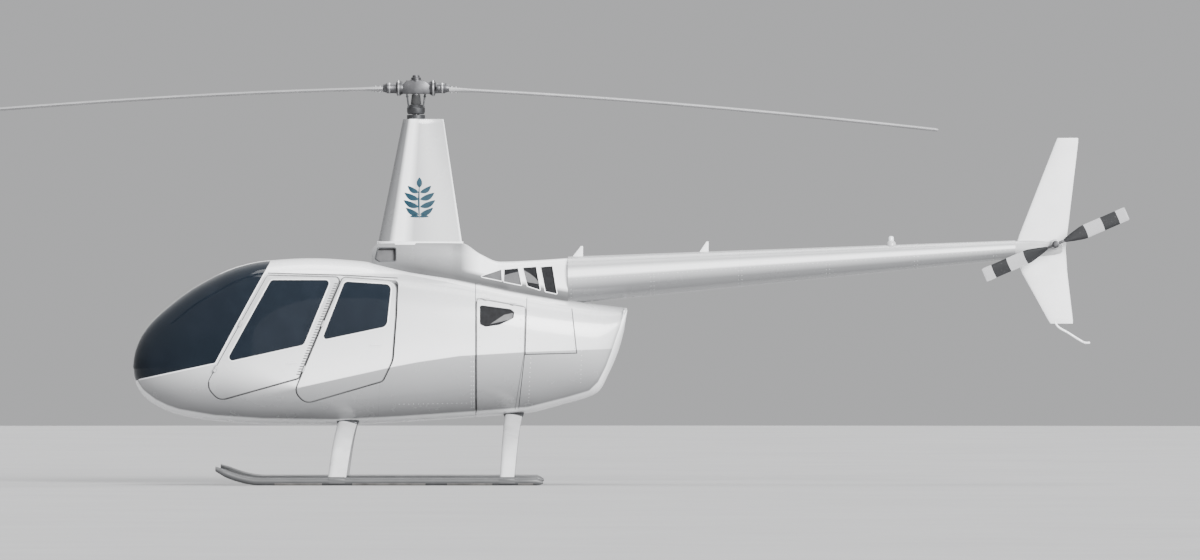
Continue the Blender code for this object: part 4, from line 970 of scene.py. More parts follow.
def banded_blade_paint():
    """Satin paint in dark and light bands out from the tail rotor's hub, chipped at the edges."""
    dark, light = tones("dark_band", "light_band")
    material, tree, shader, _ = new_finish("banded_tail_blade_paint", 0.0, 0.22)
    coordinates = add_node(tree, "ShaderNodeTexCoord")
    centre = add_node(tree, "ShaderNodeMapping")
    centre.inputs["Location"].default_value = (-(MAST_X + TAIL_HUB.x), 0, -TAIL_HUB.z)
    centre.inputs["Scale"].default_value = (1, 0, 1)
    tree.links.new(coordinates.outputs["Object"], centre.inputs["Vector"])
    reach = add_node(tree, "ShaderNodeVectorMath", operation="LENGTH")
    tree.links.new(centre.outputs["Vector"], reach.inputs[0])
    bands = steps_ramp(
        tree, reach.outputs["Value"], [(0.0, dark), (0.312, light), (0.478, dark), (0.631, light)], True,
    )
    chips = remap(tree, noise(tree, centre.outputs["Vector"], 60.0, 6.0, 0.7), 0.60, 0.72, 0.0, 0.5)
    tree.links.new(mix(tree, chips, bands, (0.30, 0.30, 0.31)), shader.inputs["Base Color"])
    surface(tree, shader, centre.outputs["Vector"], (0.32, 0.5), 12.0, 0.12, 220.0)
    return material


def seat_leather():
    """Grey leather with a pebbled grain and darker creases."""
    material, tree, shader, place = new_finish("grey_seat_leather", 0.0, 0.35, sheen=0.15)
    drift = remap(tree, noise(tree, place, 6.0, 5.0, 0.6), 0.35, 0.7, 0.0, 1.0)
    cells = add_node(tree, "ShaderNodeTexVoronoi", feature="DISTANCE_TO_EDGE")
    cells.inputs["Scale"].default_value = 340.0
    tree.links.new(place, cells.inputs["Vector"])
    crease = remap(tree, cells.outputs["Distance"], 0.0, 0.12, 0.6, 0.0)
    leather = mix(tree, drift, (0.30, 0.31, 0.33), (0.22, 0.23, 0.25))
    tree.links.new(mix(tree, crease, leather, (0.12, 0.125, 0.135)), shader.inputs["Base Color"])
    relief = surface(tree, shader, place, (0.42, 0.58), 9.0, 0.35, 60.0, 0.001)
    pebble = add_node(tree, "ShaderNodeBump")
    pebble.inputs["Strength"].default_value = 0.4
    pebble.inputs["Distance"].default_value = 0.0005
    tree.links.new(cells.outputs["Distance"], pebble.inputs["Height"])
    tree.links.new(relief.outputs["Normal"], pebble.inputs["Normal"])
    tree.links.new(pebble.outputs["Normal"], shader.inputs["Normal"])
    return material


def brushed_metal(name, colour, roughness=(0.28, 0.45), stretch=(1, 1, 30)):
    """Turned or brushed metal, with fine lines and dull patches."""
    dark = tuple(value * 0.6 for value in colour)
    return simple_finish(
        name, colour, dark, roughness, 8.0, 0.18, 60.0, metallic=0.9, stretch=stretch,
    )


FINISHES = {}


def paint(name):
    """A finish by its name, made once."""
    if name not in FINISHES:
        makers = {
            "body": body_paint,
            "gloss": plain_paint,
            "cowl": cowl_paint,
            "fairing": fairing_paint,
            "boom": boom_paint,
            "glass": window_glass,
            "bands": banded_blade_paint,
            "leather": seat_leather,
            "blade": lambda: simple_finish(
                "main_blade_satin_paint", (0.26, 0.26, 0.265), (0.20, 0.20, 0.205), (0.34, 0.5), 2.5,
                0.03, 40.0, stretch=(2, 1, 1)),
            "skid": lambda: simple_finish(
                "skid_satin_paint", tuple(looks().skid_paint),
                tuple(v * 0.72 for v in looks().skid_paint), (0.35, 0.55), 5.0, 0.2, 150.0),
            "strut": lambda: simple_finish(
                "strut_gloss_paint", (0.44, 0.444, 0.45), (0.36, 0.36, 0.365), (0.24, 0.4), 4.0, 0.08,
                120.0, coat=0.2),
            "rubber": lambda: simple_finish(
                "black_rubber_seal", (0.035, 0.036, 0.038), (0.06, 0.06, 0.06), (0.55, 0.8), 12.0, 0.35,
                300.0),
            "dark": lambda: simple_finish(
                "dark_anodised_metal", (0.05, 0.052, 0.055), (0.03, 0.03, 0.032), (0.35, 0.55), 9.0, 0.2,
                200.0, metallic=0.6),
            "steel": lambda: brushed_metal("brushed_steel", (0.42, 0.42, 0.43)),
            "hub": lambda: brushed_metal(
                "hub_grey_metal", (0.10, 0.10, 0.105), (0.35, 0.55), (1, 1, 1)),
            "worn": lambda: brushed_metal(
                "worn_wear_shoe_steel", (0.34, 0.33, 0.32), (0.3, 0.6), (1, 12, 1)),
            "burnt": lambda: simple_finish(
                "heat_tinted_exhaust_steel", (0.22, 0.19, 0.16), (0.10, 0.10, 0.14), (0.3, 0.55), 7.0,
                0.2, 90.0, metallic=0.95),
            "engine": lambda: simple_finish(
                "cast_engine_alloy", (0.36, 0.36, 0.365), (0.20, 0.20, 0.20), (0.45, 0.65), 14.0, 0.5,
                160.0, metallic=0.5, distance=0.001),
            "plastic": lambda: simple_finish(
                "moulded_cabin_plastic", (0.10, 0.102, 0.108), (0.075, 0.076, 0.08), (0.5, 0.68), 10.0,
                0.4, 420.0),
            "liner": lambda: simple_finish(
                "pale_cabin_liner", (0.30, 0.305, 0.31), (0.24, 0.24, 0.25), (0.6, 0.8), 6.0, 0.4, 300.0),
            "carpet": lambda: simple_finish(
                "ribbed_floor_mat", (0.085, 0.088, 0.095), (0.055, 0.055, 0.06), (0.75, 0.95), 20.0, 0.8,
                500.0, sheen=0.3, stretch=(1, 4, 1), distance=0.002),
            "emblem": lambda: simple_finish(
                "teal_ornament_enamel", tuple(looks().emblem_colour),
                tuple(v * 0.7 for v in looks().emblem_colour), (0.4, 0.55), 12.0, 0.1, 160.0,
                specular=0.12),
            "lamp": lambda: simple_finish(
                "ribbed_lamp_glass", (0.80, 0.82, 0.84), (0.66, 0.68, 0.70), (0.04, 0.12), 14.0, 0.6,
                120.0, coat=0.6, stretch=(1, 8, 1)),
            "mesh": lambda: simple_finish(
                "dark_intake_mesh", (0.014, 0.0145, 0.016), (0.009, 0.009, 0.01), (0.5, 0.7), 30.0, 0.3,
                400.0, specular=0.06),
            "grey": lambda: simple_finish(
                "grey_screen_paint", (0.10, 0.10, 0.103), (0.075, 0.075, 0.078), (0.4, 0.55), 8.0, 0.15,
                200.0, specular=0.2),
        }
        FINISHES[name] = makers[name]()
    return FINISHES[name]


# ---- The body's panels --------------------------------------------------------------------------


def skin_reach(x, z):
    """How far out from the middle the skin lies at a place in side view."""
    bottom, top = body_bottom(x), body_top(x)
    widest = bottom + (top - bottom) * widest_share(x)
    power, height = (top_power(x), top - widest) if z > widest else (bottom_power(x), widest - bottom)
    up = min(abs(z - widest) / height, 1.0)
    return body_half_width(x) * (1 - up**power) ** (1 / power)


def on_skin(x, z, side, lift=0.0):
    """A point of the skin on one side, lifted off it, and the skin's outward direction there."""
    y, step = skin_reach(x, z), 0.002
    slope_x = (skin_reach(x + step, z) - skin_reach(x - step, z)) / (2 * step)
    slope_z = (skin_reach(x, z + step) - skin_reach(x, z - step)) / (2 * step)
    normal = Vector((-slope_x, 1, -slope_z)).normalized()
    normal.y *= side
    return Vector((x, side * y, z)) + normal * lift, normal


def open_skin(mesh, cuts):
    """Cut (outline, inner) holes through a skin, each beyond its distance from the middle."""
    for inner in sorted({inner for _, inner in cuts if inner}):
        split_at_y(mesh, inner)
    for outline, inner in cuts:
        trim(mesh, drop=[outline], inner=inner)
    return mesh


def shell_skin(low, high, keep):
    """The body's skin between two stations, inside a region in side view."""
    mesh = skin_mesh(low, high)
    count = 2 * looks().around
    verts = list(mesh.verts)
    if low <= NOSE_X:
        tip = mesh.verts.new((NOSE_X, 0, NOSE_Z))
        for i in range(count):
            mesh.faces.new((verts[(i + 1) % count], verts[i], tip))
    if high >= TAIL_X:
        mesh.faces.new(verts[-count:])
    mesh.normal_update()
    turn_out(mesh, from_body_line)
    if keep:
        trim(mesh, keep=keep)
    return mesh


def layered(low, high, keep, pockets, openings, also=None, rim_end=None):
    """A body shell in two layers: skin with the doors' pockets, and the rim that the doors close on.

    also cuts both layers once more, and rim_end stops the inner layer short of the outer.
    """
    outer = open_skin(shell_skin(low, high, keep), pockets)
    inner = open_skin(shell_skin(low, rim_end or high, keep), openings)
    for mesh in (outer, inner):
        if also:
            also(mesh)
    thicken(outer, 0.0, RIM_DEPTH + 0.001)
    thicken(inner, RIM_DEPTH, WALL - RIM_DEPTH)
    inner.normal_update()
    # The rim's outward faces take black rubber: the seal that the doors close on, and also a painted shade in
    # the gaps round the doors.
    for face in inner.faces:
        outward = face.normal.dot(from_body_line(face.calc_center_median())) > 0
        face.material_index = 2 if outward else 1
    return outer, inner


def hinge_marks(name):
    """A cabin or cowl door's hinge places, direction and radius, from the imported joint."""
    joint = next(item for item in frame["joints"] if item["name"] == f"{name}_hinge")
    point = Vector(joint["pos_m"]) - Vector((MAST_X, 0, 0))
    along = Vector(joint["axis"]).normalized()
    kind = name.split("_")[0]
    if kind == "cowl":
        along *= 1 if along.x > 0 else -1
        length = (COWL_DOOR[4][0] - COWL_DOOR[0][0]) / along.x
        return [point + along * length * share for share in (0.2, 0.75)], along, 0.013
    along *= 1 if along.z > 0 else -1
    places = [point, point + along * ((1.50 - 1.08) / along.z)]
    return places, along, {"front": 0.016, "rear": 0.009}[kind]


def notch(point, along, low, high, reach):
    """A rectangle in side view round part of a hinge."""
    line = Vector((along.x, along.z)).normalized()
    across = Vector((-line.y, line.x))
    start = Vector((point.x, point.z))
    corners = ((low, -reach), (high, -reach), (high, reach), (low, reach))
    return [start + line * a + across * b for a, b in corners]


def hinge_notches(name, part):
    """The cuts round a door's hinges: in the frame for the door's barrels, in the door for the frame's."""
    places, along, radius = hinge_marks(name)
    far = BARREL + BARREL_ROOM
    low, high = (-BARREL_ROOM, far) if part == "frame" else (-far, BARREL_ROOM)
    return [notch(point, along, low, high, radius + BARREL_ROOM) for point in places]


def hinge_barrels(name):
    """Turned barrels and pins on a door's hinge line: half ride with the frame, half with the door."""
    places, along, radius = hinge_marks(name)
    door, fixed = bmesh.new(), bmesh.new()
    side = along.cross(Vector((0, 1, 0))).normalized()
    up = side.cross(along).normalized()
    eased = radius * 0.8
    for point in places:
        for mesh, low, high in ((door, BARREL_GAP, BARREL), (fixed, -BARREL, -BARREL_GAP)):
            shape = [(eased, low), (radius, low + 0.002), (radius, high - 0.002), (eased, high)]
            add_part(mesh, loft([
                [point + along * reach + side * a + up * b for a, b in circle(size, 20)]
                for size, reach in shape
            ]))
    return door, fixed


def cabin_cuts():
    """The cabin doors' pockets in the skin and openings in the rim, each with its reach."""
    front_pocket = rounded(edged(FRONT_DOOR, FRONT_POCKET))
    front_opening = rounded(edged(FRONT_DOOR, FRONT_OPENING))
    rear_pocket = rounded(edged(REAR_FRAME, REAR_POCKET))
    rear_opening = rounded(edged(REAR_FRAME, REAR_OPENING))
    pockets = [(front_pocket, DOOR_INNER_Y), (rear_pocket, DOOR_INNER_Y)]
    openings = [(front_opening, DOOR_INNER_Y), (rear_opening, DOOR_INNER_Y)]
    return pockets, openings


def cabin_split():
    """The lower and upper cabin regions in side view."""
    seam = [Vector((x - 0.0003, z)) for x, z in MIDDLE_SEAM]
    at_split = -0.2375
    upper = [Vector((-3.2, 2.4))] + [p for p in seam if p.y > SPLIT_Z]
    upper += [Vector((at_split, SPLIT_Z)), Vector((-1.85, SPLIT_Z)), Vector((-3.2, SPLIT_Z - 0.254))]
    lower = [Vector((at_split, SPLIT_Z - 0.0008))] + [p for p in seam if p.y < SPLIT_Z]
    lower += [Vector((-3.2, 0.3)), Vector((-3.2, SPLIT_Z - 0.2548)), Vector((-1.85, SPLIT_Z - 0.0008))]
    return upper, lower


def floor_plate(low, high, level, thick=0.02, trim_in=0.046):
    """A floor across the inside of the body."""
    rings = []
    for x in evenly(low, high, 24):
        half = max(min(skin_reach(x, level), skin_reach(x, level - thick)) - trim_in, 0.02)
        corners = (
            (half, level), (-half, level), (-half + 0.004, level - thick), (half - 0.004, level - thick),
        )
        rings.append([Vector((x, y, z)) for y, z in corners])
    return loft(rings)


def two_part(outer, inner, name, node):
    """Make one piece of a shell's two layers, in place of a solid."""
    data = bpy.data.meshes.new("layer")
    inner.to_mesh(data)
    outer.from_mesh(data)
    bpy.data.meshes.remove(data)
    inner.free()
    item = finish(outer, name, paint("body"), replaces=(node,))
    for lining in ("liner", "rubber"):
        item.data.materials.append(paint(lining))


def cabin_half(region, row, name, node):
    """Build the cabin's shell inside a region, cut round one row of the doors' hinges: lower 0, upper 1."""
    pockets, openings = cabin_cuts()
    shield = [(rounded(WINDSHIELD), POST_HALF)]
    notches = [(hinge_notches(f"{kind}_door_left", "frame")[row], 0.0) for kind in ("front", "rear")]
    outer, inner = layered(NOSE_X, -0.19, region, pockets + shield + notches, openings + shield)
    two_part(outer, inner, name, node)


class HELI_OT_nose_shell(Operator):
    """Build the nose and cabin floor below the windows"""

    bl_idname = "helicopter.nose_shell"
    bl_label = "Nose shell"

    def execute(self, context):
        cabin_half(cabin_split()[1], 0, "nose_shell", "nose_tub")
        mat = floor_plate(-2.30, BULKHEAD_X, FLOOR_Z)
        finish(mat, "cabin_floor", paint("carpet"))
        return {"FINISHED"}


class HELI_OT_cabin_roof(Operator):
    """Build the roof, the pillars and the windshield's centre post"""

    bl_idname = "helicopter.cabin_roof"
    bl_label = "Cabin roof"

    def execute(self, context):
        cabin_half(cabin_split()[0], 1, "cabin_roof_shell", "cabin_roof")
        return {"FINISHED"}


class HELI_OT_middle_fuselage(Operator):
    """Build the body between the cabin and the engine bay"""

    bl_idname = "helicopter.middle_fuselage"
    bl_label = "Middle fuselage"

    def execute(self, context):
        pockets, openings = cabin_cuts()
        seam = [Vector((x + 0.0003, z)) for x, z in MIDDLE_SEAM]
        keep = seam + [Vector((FRAME_X - 0.003, 0.3)), Vector((FRAME_X - 0.003, 2.4))]
        outer, inner = layered(-0.40, 0.60, keep, pockets[1:], openings[1:])
        two_part(outer, inner, "middle_shell", "middle_fuselage")
        return {"FINISHED"}


class HELI_OT_engine_bay(Operator):
    """Build the aft body with its door openings, the bay's floor, the panels and the exhaust"""

    bl_idname = "helicopter.engine_bay"
    bl_label = "Engine bay"

    def execute(self, context):
        door = [Vector(point) for point in rounded(COWL_DOOR)]
        pocket = grown(door, 0.006)
        opening = [Vector((p.x, max(p.y, BAY_FLOOR_Z + RIM))) for p in grown(door, -RIM)]
        access = grown(rounded(ACCESS_PANEL), SEAM)
        notches = [(cut, 0.3) for cut in hinge_notches("cowl_door_left", "frame")]
        front = FRAME_X + 0.003
        keep = [Vector(point) for point in ((front, 0.3), (2.5, 0.3), (2.5, 2.4), (front, 2.4))]
        outer, inner = layered(
            0.50, TAIL_X, keep,
            [(pocket, COWL_DOOR_INNER_Y), (access, ACCESS_INNER_Y)] + notches,
            [(opening, COWL_DOOR_INNER_Y), (access, ACCESS_INNER_Y)],
            cut_round_port, RIM_END_X,
        )
        two_part(outer, inner, "aft_shell", "aft_cowl")
        bay = floor_plate(0.19, 1.50, BAY_FLOOR_Z, trim_in=0.04)
        finish(bay, "engine_bay_floor", paint("grey"))
        for side, label in SIDES.items():
            panel = half_skin(0.95, 1.60, ACCESS_INNER_Y + 0.001)
            trim(panel, keep=grown(rounded(ACCESS_PANEL), -SEAM))
            panel = on_side(thicken(panel, 0.0, 0.03), side)
            finish(panel, f"side_access_{label}", paint("body"), replaces=(f"access_panel_{label}",))
        line = [Vector((1.305, 0, 1.1453)), Vector((2.0, 0, 0.96))]
        pipe = open_pipe(line, 0.0985, 0.006)
        finish(pipe, "exhaust_stack", paint("burnt"), replaces=("exhaust_pipe",))
        return {"FINISHED"}


def cut_round_port(mesh):
    """Cut the skin along the round port that the exhaust passes through."""
    start, end = Vector((1.25, 0, 1.16)), Vector((2.0, 0, 0.96))
    turn = (end - start).rotation_difference(Vector((0, 1, 0))).to_matrix().to_4x4()
    there = turn @ Matrix.Translation(-start)
    bmesh.ops.transform(mesh, matrix=there, verts=mesh.verts)
    trim(mesh, drop=[[Vector(point) for point in circle(0.1015, 40)]], inner=0.2)
    bmesh.ops.transform(mesh, matrix=there.inverted(), verts=mesh.verts)


def inside_body(point):
    """Whether a point lies under the body's skin."""
    if not NOSE_X < point.x < TAIL_X or not body_bottom(point.x) < point.z < body_top(point.x):
        return False
    return abs(point.y) < skin_reach(point.x, point.z)


def open_pipe(line, radius, wall):
    """A pipe from inside the body, open where it meets the skin."""
    start, end = line
    along = (end - start).normalized()
    side = Vector((0, 1, 0))
    up = side.cross(along).normalized()

    def to_skin(place):
        reach = 0.30
        while inside_body(place + along * (reach + 0.002)):
            reach += 0.002
        return place + along * reach

    rings = []
    for size, reach in ((0.02, 0.0), (radius, 0.0), (radius, 0.25), (radius, None), (radius - wall, None),
                        (radius - wall, 0.25), (radius - wall, 0.06), (0.02, 0.05)):
        ring = [start + side * a + up * b for a, b in circle(size, 40)]
        rings.append([to_skin(p) if reach is None else p + along * reach for p in ring])
    return loft(rings)


def half_skin(low, high, inner):
    """The starboard half of the skin beyond a distance from the middle."""
    mesh = skin_mesh(low, high, (STARBOARD,))
    mesh.normal_update()
    turn_out(mesh, from_body_line)
    slice_at(mesh, inner, plane_no=(0, -1, 0), clear_outer=True)
    return mesh


def side_panel(outline, holes, depth, thickness, inner):
    """A starboard panel of the skin inside an outline."""
    low = min(point[0] for point in outline) - 0.05
    high = max(point[0] for point in outline) + 0.05
    mesh = trim(half_skin(max(low, NOSE_X), high, inner), keep=outline, drop=holes)
    return thicken(mesh, depth, thickness)


def bead_section(shoulder):
    """A bead's section in shares of its width and height, flat on top between its shoulders."""
    return [(-0.5, -0.4), (-0.5, 0.5), (-shoulder, 0.9), (shoulder, 0.9), (0.5, 0.5), (0.5, -0.4)]


def closed_strip(rings):
    """A strip through rings that runs back into its start."""
    mesh = grid_mesh(rings + [rings[0]], closed=True)
    bmesh.ops.remove_doubles(mesh, verts=mesh.verts, dist=TOUCHING)
    bmesh.ops.recalc_face_normals(mesh, faces=mesh.faces)
    return mesh


def bead(outline, side, width, height, lift=0.0, closed=True):
    """A low rounded strip on the skin along a line in side view."""
    points = [on_skin(p[0], p[1], side, lift) for p in outline]
    rings = []
    count = len(points)
    for i, (place, normal) in enumerate(points):
        ahead = points[(i + 1) % count][0] if closed or i + 1 < count else place
        behind = points[i - 1][0] if closed or i else place
        along = (ahead - behind).normalized()
        across = normal.cross(along).normalized()
        rings.append([place + across * a * width + normal * b * height for a, b in bead_section(0.3)])
    return closed_strip(rings) if closed else loft(rings)


def edge_bead(line, side, closed=False):
    """The fine raised bead along the edge of a door or panel."""
    return bead(line, side, 0.0065, 0.0007, closed=closed)


def spaced(outline, step=0.03, closed=True):
    """More points along a line in side view, no further apart than a step."""
    points = [Vector(point[:2]) for point in outline]
    if closed:
        points.append(points[0])
    result = []
    for start, end in zip(points, points[1:]):
        parts = max(1, math.ceil((end - start).length / step))
        result += [start.lerp(end, i / parts) for i in range(parts)]
    return result if closed else result + [points[-1]]


def opened(line, start, end, reach=0.008):
    """A closed line without the points along its straight edge between two corners."""
    along = (end - start).normalized()
    near = [abs(along.cross(point - start)) < reach for point in line]
    first = next(i for i in range(len(line)) if near[i - 1] and not near[i])
    turned_line = line[first:] + line[:first]
    return [point for point, skip in zip(turned_line, near[first:] + near[:first]) if not skip]


CABIN_DOORS = {"front": (FRONT_DOOR, FRONT_WINDOW), "rear": (REAR_DOOR, REAR_WINDOW)}


def door_handle(kind, side):
    """A flush lever in a shallow dish on a door's skin."""
    x, z = (-1.14, 1.13) if kind == "front" else (-0.37, 1.30)
    dish = []
    for i in range(28):
        angle = 2 * math.pi * i / 28
        dish.append((x + 0.062 * math.cos(angle), z + 0.021 * math.sin(angle)))
    mesh = bead(dish, side, 0.005, 0.0018)
    lever = [(x - 0.045 + 0.01 * i, z + 0.0006 * i) for i in range(10)]
    return add_part(mesh, bead(lever, side, 0.016, 0.0042, closed=False))


class HELI_OT_cabin_doors(Operator):
    """Build the four cabin doors with their windows, beads, handles and hinges"""

    bl_idname = "helicopter.cabin_doors"
    bl_label = "Cabin doors"

    def execute(self, context):
        for kind, (corners, window) in CABIN_DOORS.items():
            outline, hole = rounded(corners), rounded(window)
            notches = hinge_notches(f"{kind}_door_left", "door")
            if kind == "front":
                places, along, radius = hinge_marks("rear_door_left")
                notches += [notch(point, along, -0.046, 0.046, radius + 0.006) for point in places]
            panel = side_panel(outline, [hole] + notches, 0.0, SKIN, DOOR_INNER_Y)
            pane = side_panel(grown(hole, 0.004), [], GLASS_TOP, GLASS_THICK, DOOR_INNER_Y)
            for side, label in SIDES.items():
                body = f"{kind}_door_{label}"
                skin = f"{kind}_cabin_door_{label}"
                finish(on_side(panel, side), skin, paint("body"), body, replaces=(body,))
                finish(
                    on_side(pane, side), f"{kind}_pane_{label}", paint("glass"), body,
                    (f"{kind}_window_{label}",),
                )
                trim_line = spaced(rounded([(x, z, r and r + 0.004) for x, z, r in window], 8))
                edge = bead(grown(trim_line, 0.004), side, 0.010, 0.0022)
                finish(edge, f"{kind}_window_bead_{label}", paint("gloss"), body)
                gasket = bead(grown(trim_line, -0.003), side, 0.005, 0.0012, -0.002)
                finish(gasket, f"{kind}_window_gasket_{label}", paint("rubber"), body)
                handle = door_handle(kind, side)
                finish(handle, f"{kind}_door_handle_{label}", paint("body"), body)
                line = grown(spaced(outline, 0.02), -0.0035)
                if kind == "front":
                    line = opened(line, Vector(corners[0][:2]), Vector(corners[1][:2]))
                rim = edge_bead(line, side, closed=kind == "rear")
                finish(rim, f"{kind}_door_edge_{label}", paint("grey"), body)
                moving, fixed = hinge_barrels(body)
                finish(moving, f"{kind}_door_barrels_{label}", paint("strut"), body)
                finish(fixed, f"{kind}_frame_barrels_{label}", paint("strut"))
            panel.free()
            pane.free()
        return {"FINISHED"}


class HELI_OT_windshield(Operator):
    """Build the windshield's two curved halves and their beads"""

    bl_idname = "helicopter.windshield"
    bl_label = "Windshield"

    def execute(self, context):
        outline = rounded(WINDSHIELD)
        for side, label in SIDES.items():
            half = trim(half_skin(NOSE_X, -1.30, POST_HALF + 0.0005), keep=grown(outline, SEAM))
            pane = on_side(thicken(half, GLASS_TOP, GLASS_THICK), side)
            finish(
                pane, f"windshield_pane_{label}", paint("glass"),
                replaces=(f"windshield_{label}",),
            )
            path = [(-1.372, 2.03), (-1.861, 1.128), (-1.885, 1.124), (-2.585, 0.975)]
            path = [
                p for p in spaced(path, closed=False)
                if body_bottom(p.x) + 0.02 < p.y < body_top(p.x) - 0.02
            ]
            rim = bead(path, side, 0.012, 0.0022, closed=False)
            finish(rim, f"windshield_bead_{label}", paint("gloss"))
        return {"FINISHED"}


class HELI_OT_cowl_doors(Operator):
    """Build the engine bay's doors with their screened vents and hinges"""

    bl_idname = "helicopter.cowl_doors"
    bl_label = "Cowl doors"

    def execute(self, context):
        outline, hole = rounded(COWL_DOOR), rounded(VENT)
        notches = hinge_notches("cowl_door_left", "door")
        panel = side_panel(outline, [hole] + notches, 0.0, SKIN, COWL_DOOR_INNER_Y + 0.006)
        screen = side_panel(grown(hole, 0.006), [], 0.012, 0.003, 0.3)
        corner = [(0.70, 1.497), (0.905, 1.546), (0.912, 1.604), (0.83, 1.585)]
        shade = side_panel([Vector(p) for p in corner], [], 0.0105, 0.0016, 0.3)
        for side, label in SIDES.items():
            body = f"cowl_door_{label}"
            for mesh, name, kind, slot, replaced in (
                (panel, f"engine_door_{label}", "body", "white_paint", (body,)),
                (screen, f"vent_screen_{label}", "mesh", "dark_metal", ()),
                (shade, f"vent_shade_{label}", "grey", "white_paint", ()),
            ):
                finish(on_side(mesh, side), name, paint(kind), body, replaced)
            edge = bead(spaced(grown(hole, 0.003)), side, 0.007, 0.0016)
            finish(edge, f"vent_bead_{label}", paint("body"), body)
            path = [(0.574, 0.70), (0.574, 1.735), (1.0235, 1.6535), (1.012, 1.215), (0.928, 0.70)]
            rim = edge_bead(spaced(path, 0.02, False), side)
            finish(rim, f"engine_door_edge_{label}", paint("grey"), body)
            path = spaced([(1.456, 1.64), (1.500, 1.228), (1.029, 1.217)], 0.02, False)
            finish(edge_bead(path, side), f"access_edge_{label}", paint("grey"))
            moving, fixed = hinge_barrels(body)
            finish(moving, f"engine_door_barrels_{label}", paint("strut"), body)
            finish(fixed, f"bay_barrels_{label}", paint("strut"))
        for mesh in (panel, screen, shade):
            mesh.free()
        return {"FINISHED"}


# ---- The raised cowl and the mast fairing -------------------------------------------------------

COWL_FRONT_X, COWL_REAR_X = -0.411, 1.4195
COWL_SINK = 0.14
cowl_top = smooth_curve([
    (COWL_FRONT_X, 2.19), (-0.355, 2.245), (0.0, 2.252), (0.43, 2.250), (0.60, 2.15), (0.785, 2.078),
    (1.10, 2.09), (1.44, 2.112),
])
cowl_foot = smooth_curve([
    (COWL_FRONT_X, 0.46), (0.0, 0.50), (0.43, 0.42), (0.785, 0.29), (1.44, 0.222),
])
cowl_crest = smooth_curve([(COWL_FRONT_X, 0.14), (0.43, 0.12), (0.785, 0.04), (1.44, 0.03)])
cowl_round = smooth_curve([(0.35, 0.0), (0.85, 1.0)])
INTAKES = [
    [(0.590, 1.938), (0.800, 2.008), (0.808, 1.893)],
    [(0.822, 2.008), (0.956, 2.022), (0.991, 1.853), (0.819, 1.888)],
    [(0.996, 2.025), (1.125, 2.034), (1.165, 1.807), (1.040, 1.848)],
    [(1.162, 2.031), (1.277, 2.040), (1.321, 1.773), (1.208, 1.797)],
]
FLAPS = [
    [(0.821, 1.942), (0.870, 1.958), (0.981, 1.984), (0.991, 1.853), (0.819, 1.888)],
    [(1.001, 1.996), (1.065, 1.960), (1.108, 1.925), (1.152, 1.874), (1.031, 1.894)],
]
SCOOP = [
    (-0.376, 2.105, 0.012), (-0.352, 2.206, 0.012), (-0.187, 2.206, 0.012), (-0.187, 2.080, 0.012),
    (-0.340, 2.078, 0.012),
]


def cowl_half(x, level):
    """The raised cowl's half width at a station and a level between its low edge and its crest."""
    flared = (1 - level) ** 1.7
    arched = math.sqrt(max(1 - level * level, 0.0))
    share = flared + (arched - flared) * cowl_round(x)
    return cowl_crest(x) + (cowl_foot(x) - cowl_crest(x)) * share


def cowl_skin(levels=20):
    """The raised cowl's open skin, down to below the body's deck."""
    rows = []
    for i in range(65):
        x = COWL_FRONT_X + (COWL_REAR_X - COWL_FRONT_X) * i / 64
        base, top = body_top(x) - 0.06, cowl_top(x)
        full = body_top(x) - COWL_SINK
        first = (base - full) / (top - full)
        half = []
        for i in range(levels + 1):
            level = first + (1 - first) * math.sin(math.pi / 2 * i / levels)
            half.append((cowl_half(x, level), full + (top - full) * level))
        whole = half + [(-y, z) for y, z in reversed(half)]
        rows.append([Vector((x, y, z)) for y, z in whole])
    return grid_mesh(rows)


def cowl_side(x, z):
    """The raised cowl's half width at a place in side view."""
    full = body_top(x) - COWL_SINK
    return cowl_half(x, min(max((z - full) / (cowl_top(x) - full), 0.0), 1.0))


class HELI_OT_raised_cowl(Operator):
    """Build the raised cowl with its inlet scoops and screened intakes"""

    bl_idname = "helicopter.raised_cowl"
    bl_label = "Raised cowl"

    def execute(self, context):
        mesh = cowl_skin()
        front = [vert for vert in mesh.verts if abs(vert.co.x - COWL_FRONT_X) < 1e-5]
        front.sort(key=lambda vert: math.atan2(vert.co.z - 2.05, vert.co.y))
        mesh.faces.new(front)
        mesh.normal_update()
        turn_out(mesh, lambda p: Vector((-3.0 if p.x < -0.41 else 0, p.y, p.z - 1.7)))
        intakes = [rounded([(*p, 0.008) for p in outline], 4) for outline in INTAKES]
        trim(mesh, drop=intakes + [rounded(SCOOP, 4)], inner=0.05)
        thicken(mesh, 0.0, 0.012)
        finish(mesh, "raised_cowl", paint("cowl"), replaces=("upper_cowl",), sharp=40)
        for side, label in SIDES.items():
            screens, lights = bmesh.new(), bmesh.new()
            for number, outline in enumerate(INTAKES):
                add_part(screens if number else lights, cowl_patch(outline, side, 0.011))
            for flap in FLAPS:
                add_part(lights, cowl_patch(flap, side, 0.0095))
            finish(screens, f"intake_screens_{label}", paint("mesh"))
            finish(lights, f"intake_flaps_{label}", paint("grey"))
            floor = rounded([(x, z, 0.02) for x, z, _ in SCOOP], 4)
            scoop = cowl_patch(floor, side, 0.05)
            finish(scoop, f"scoop_floor_{label}", paint("grey"))
            frames = bmesh.new()
            for outline in intakes:
                add_part(frames, cowl_bead(outline, side, 0.008, 0.003))
            finish(frames, f"intake_frames_{label}", paint("gloss"))
            lip = cowl_bead(rounded(SCOOP, 4), side, 0.012, 0.004)
            finish(lip, f"scoop_lip_{label}", paint("dark"))
        return {"FINISHED"}


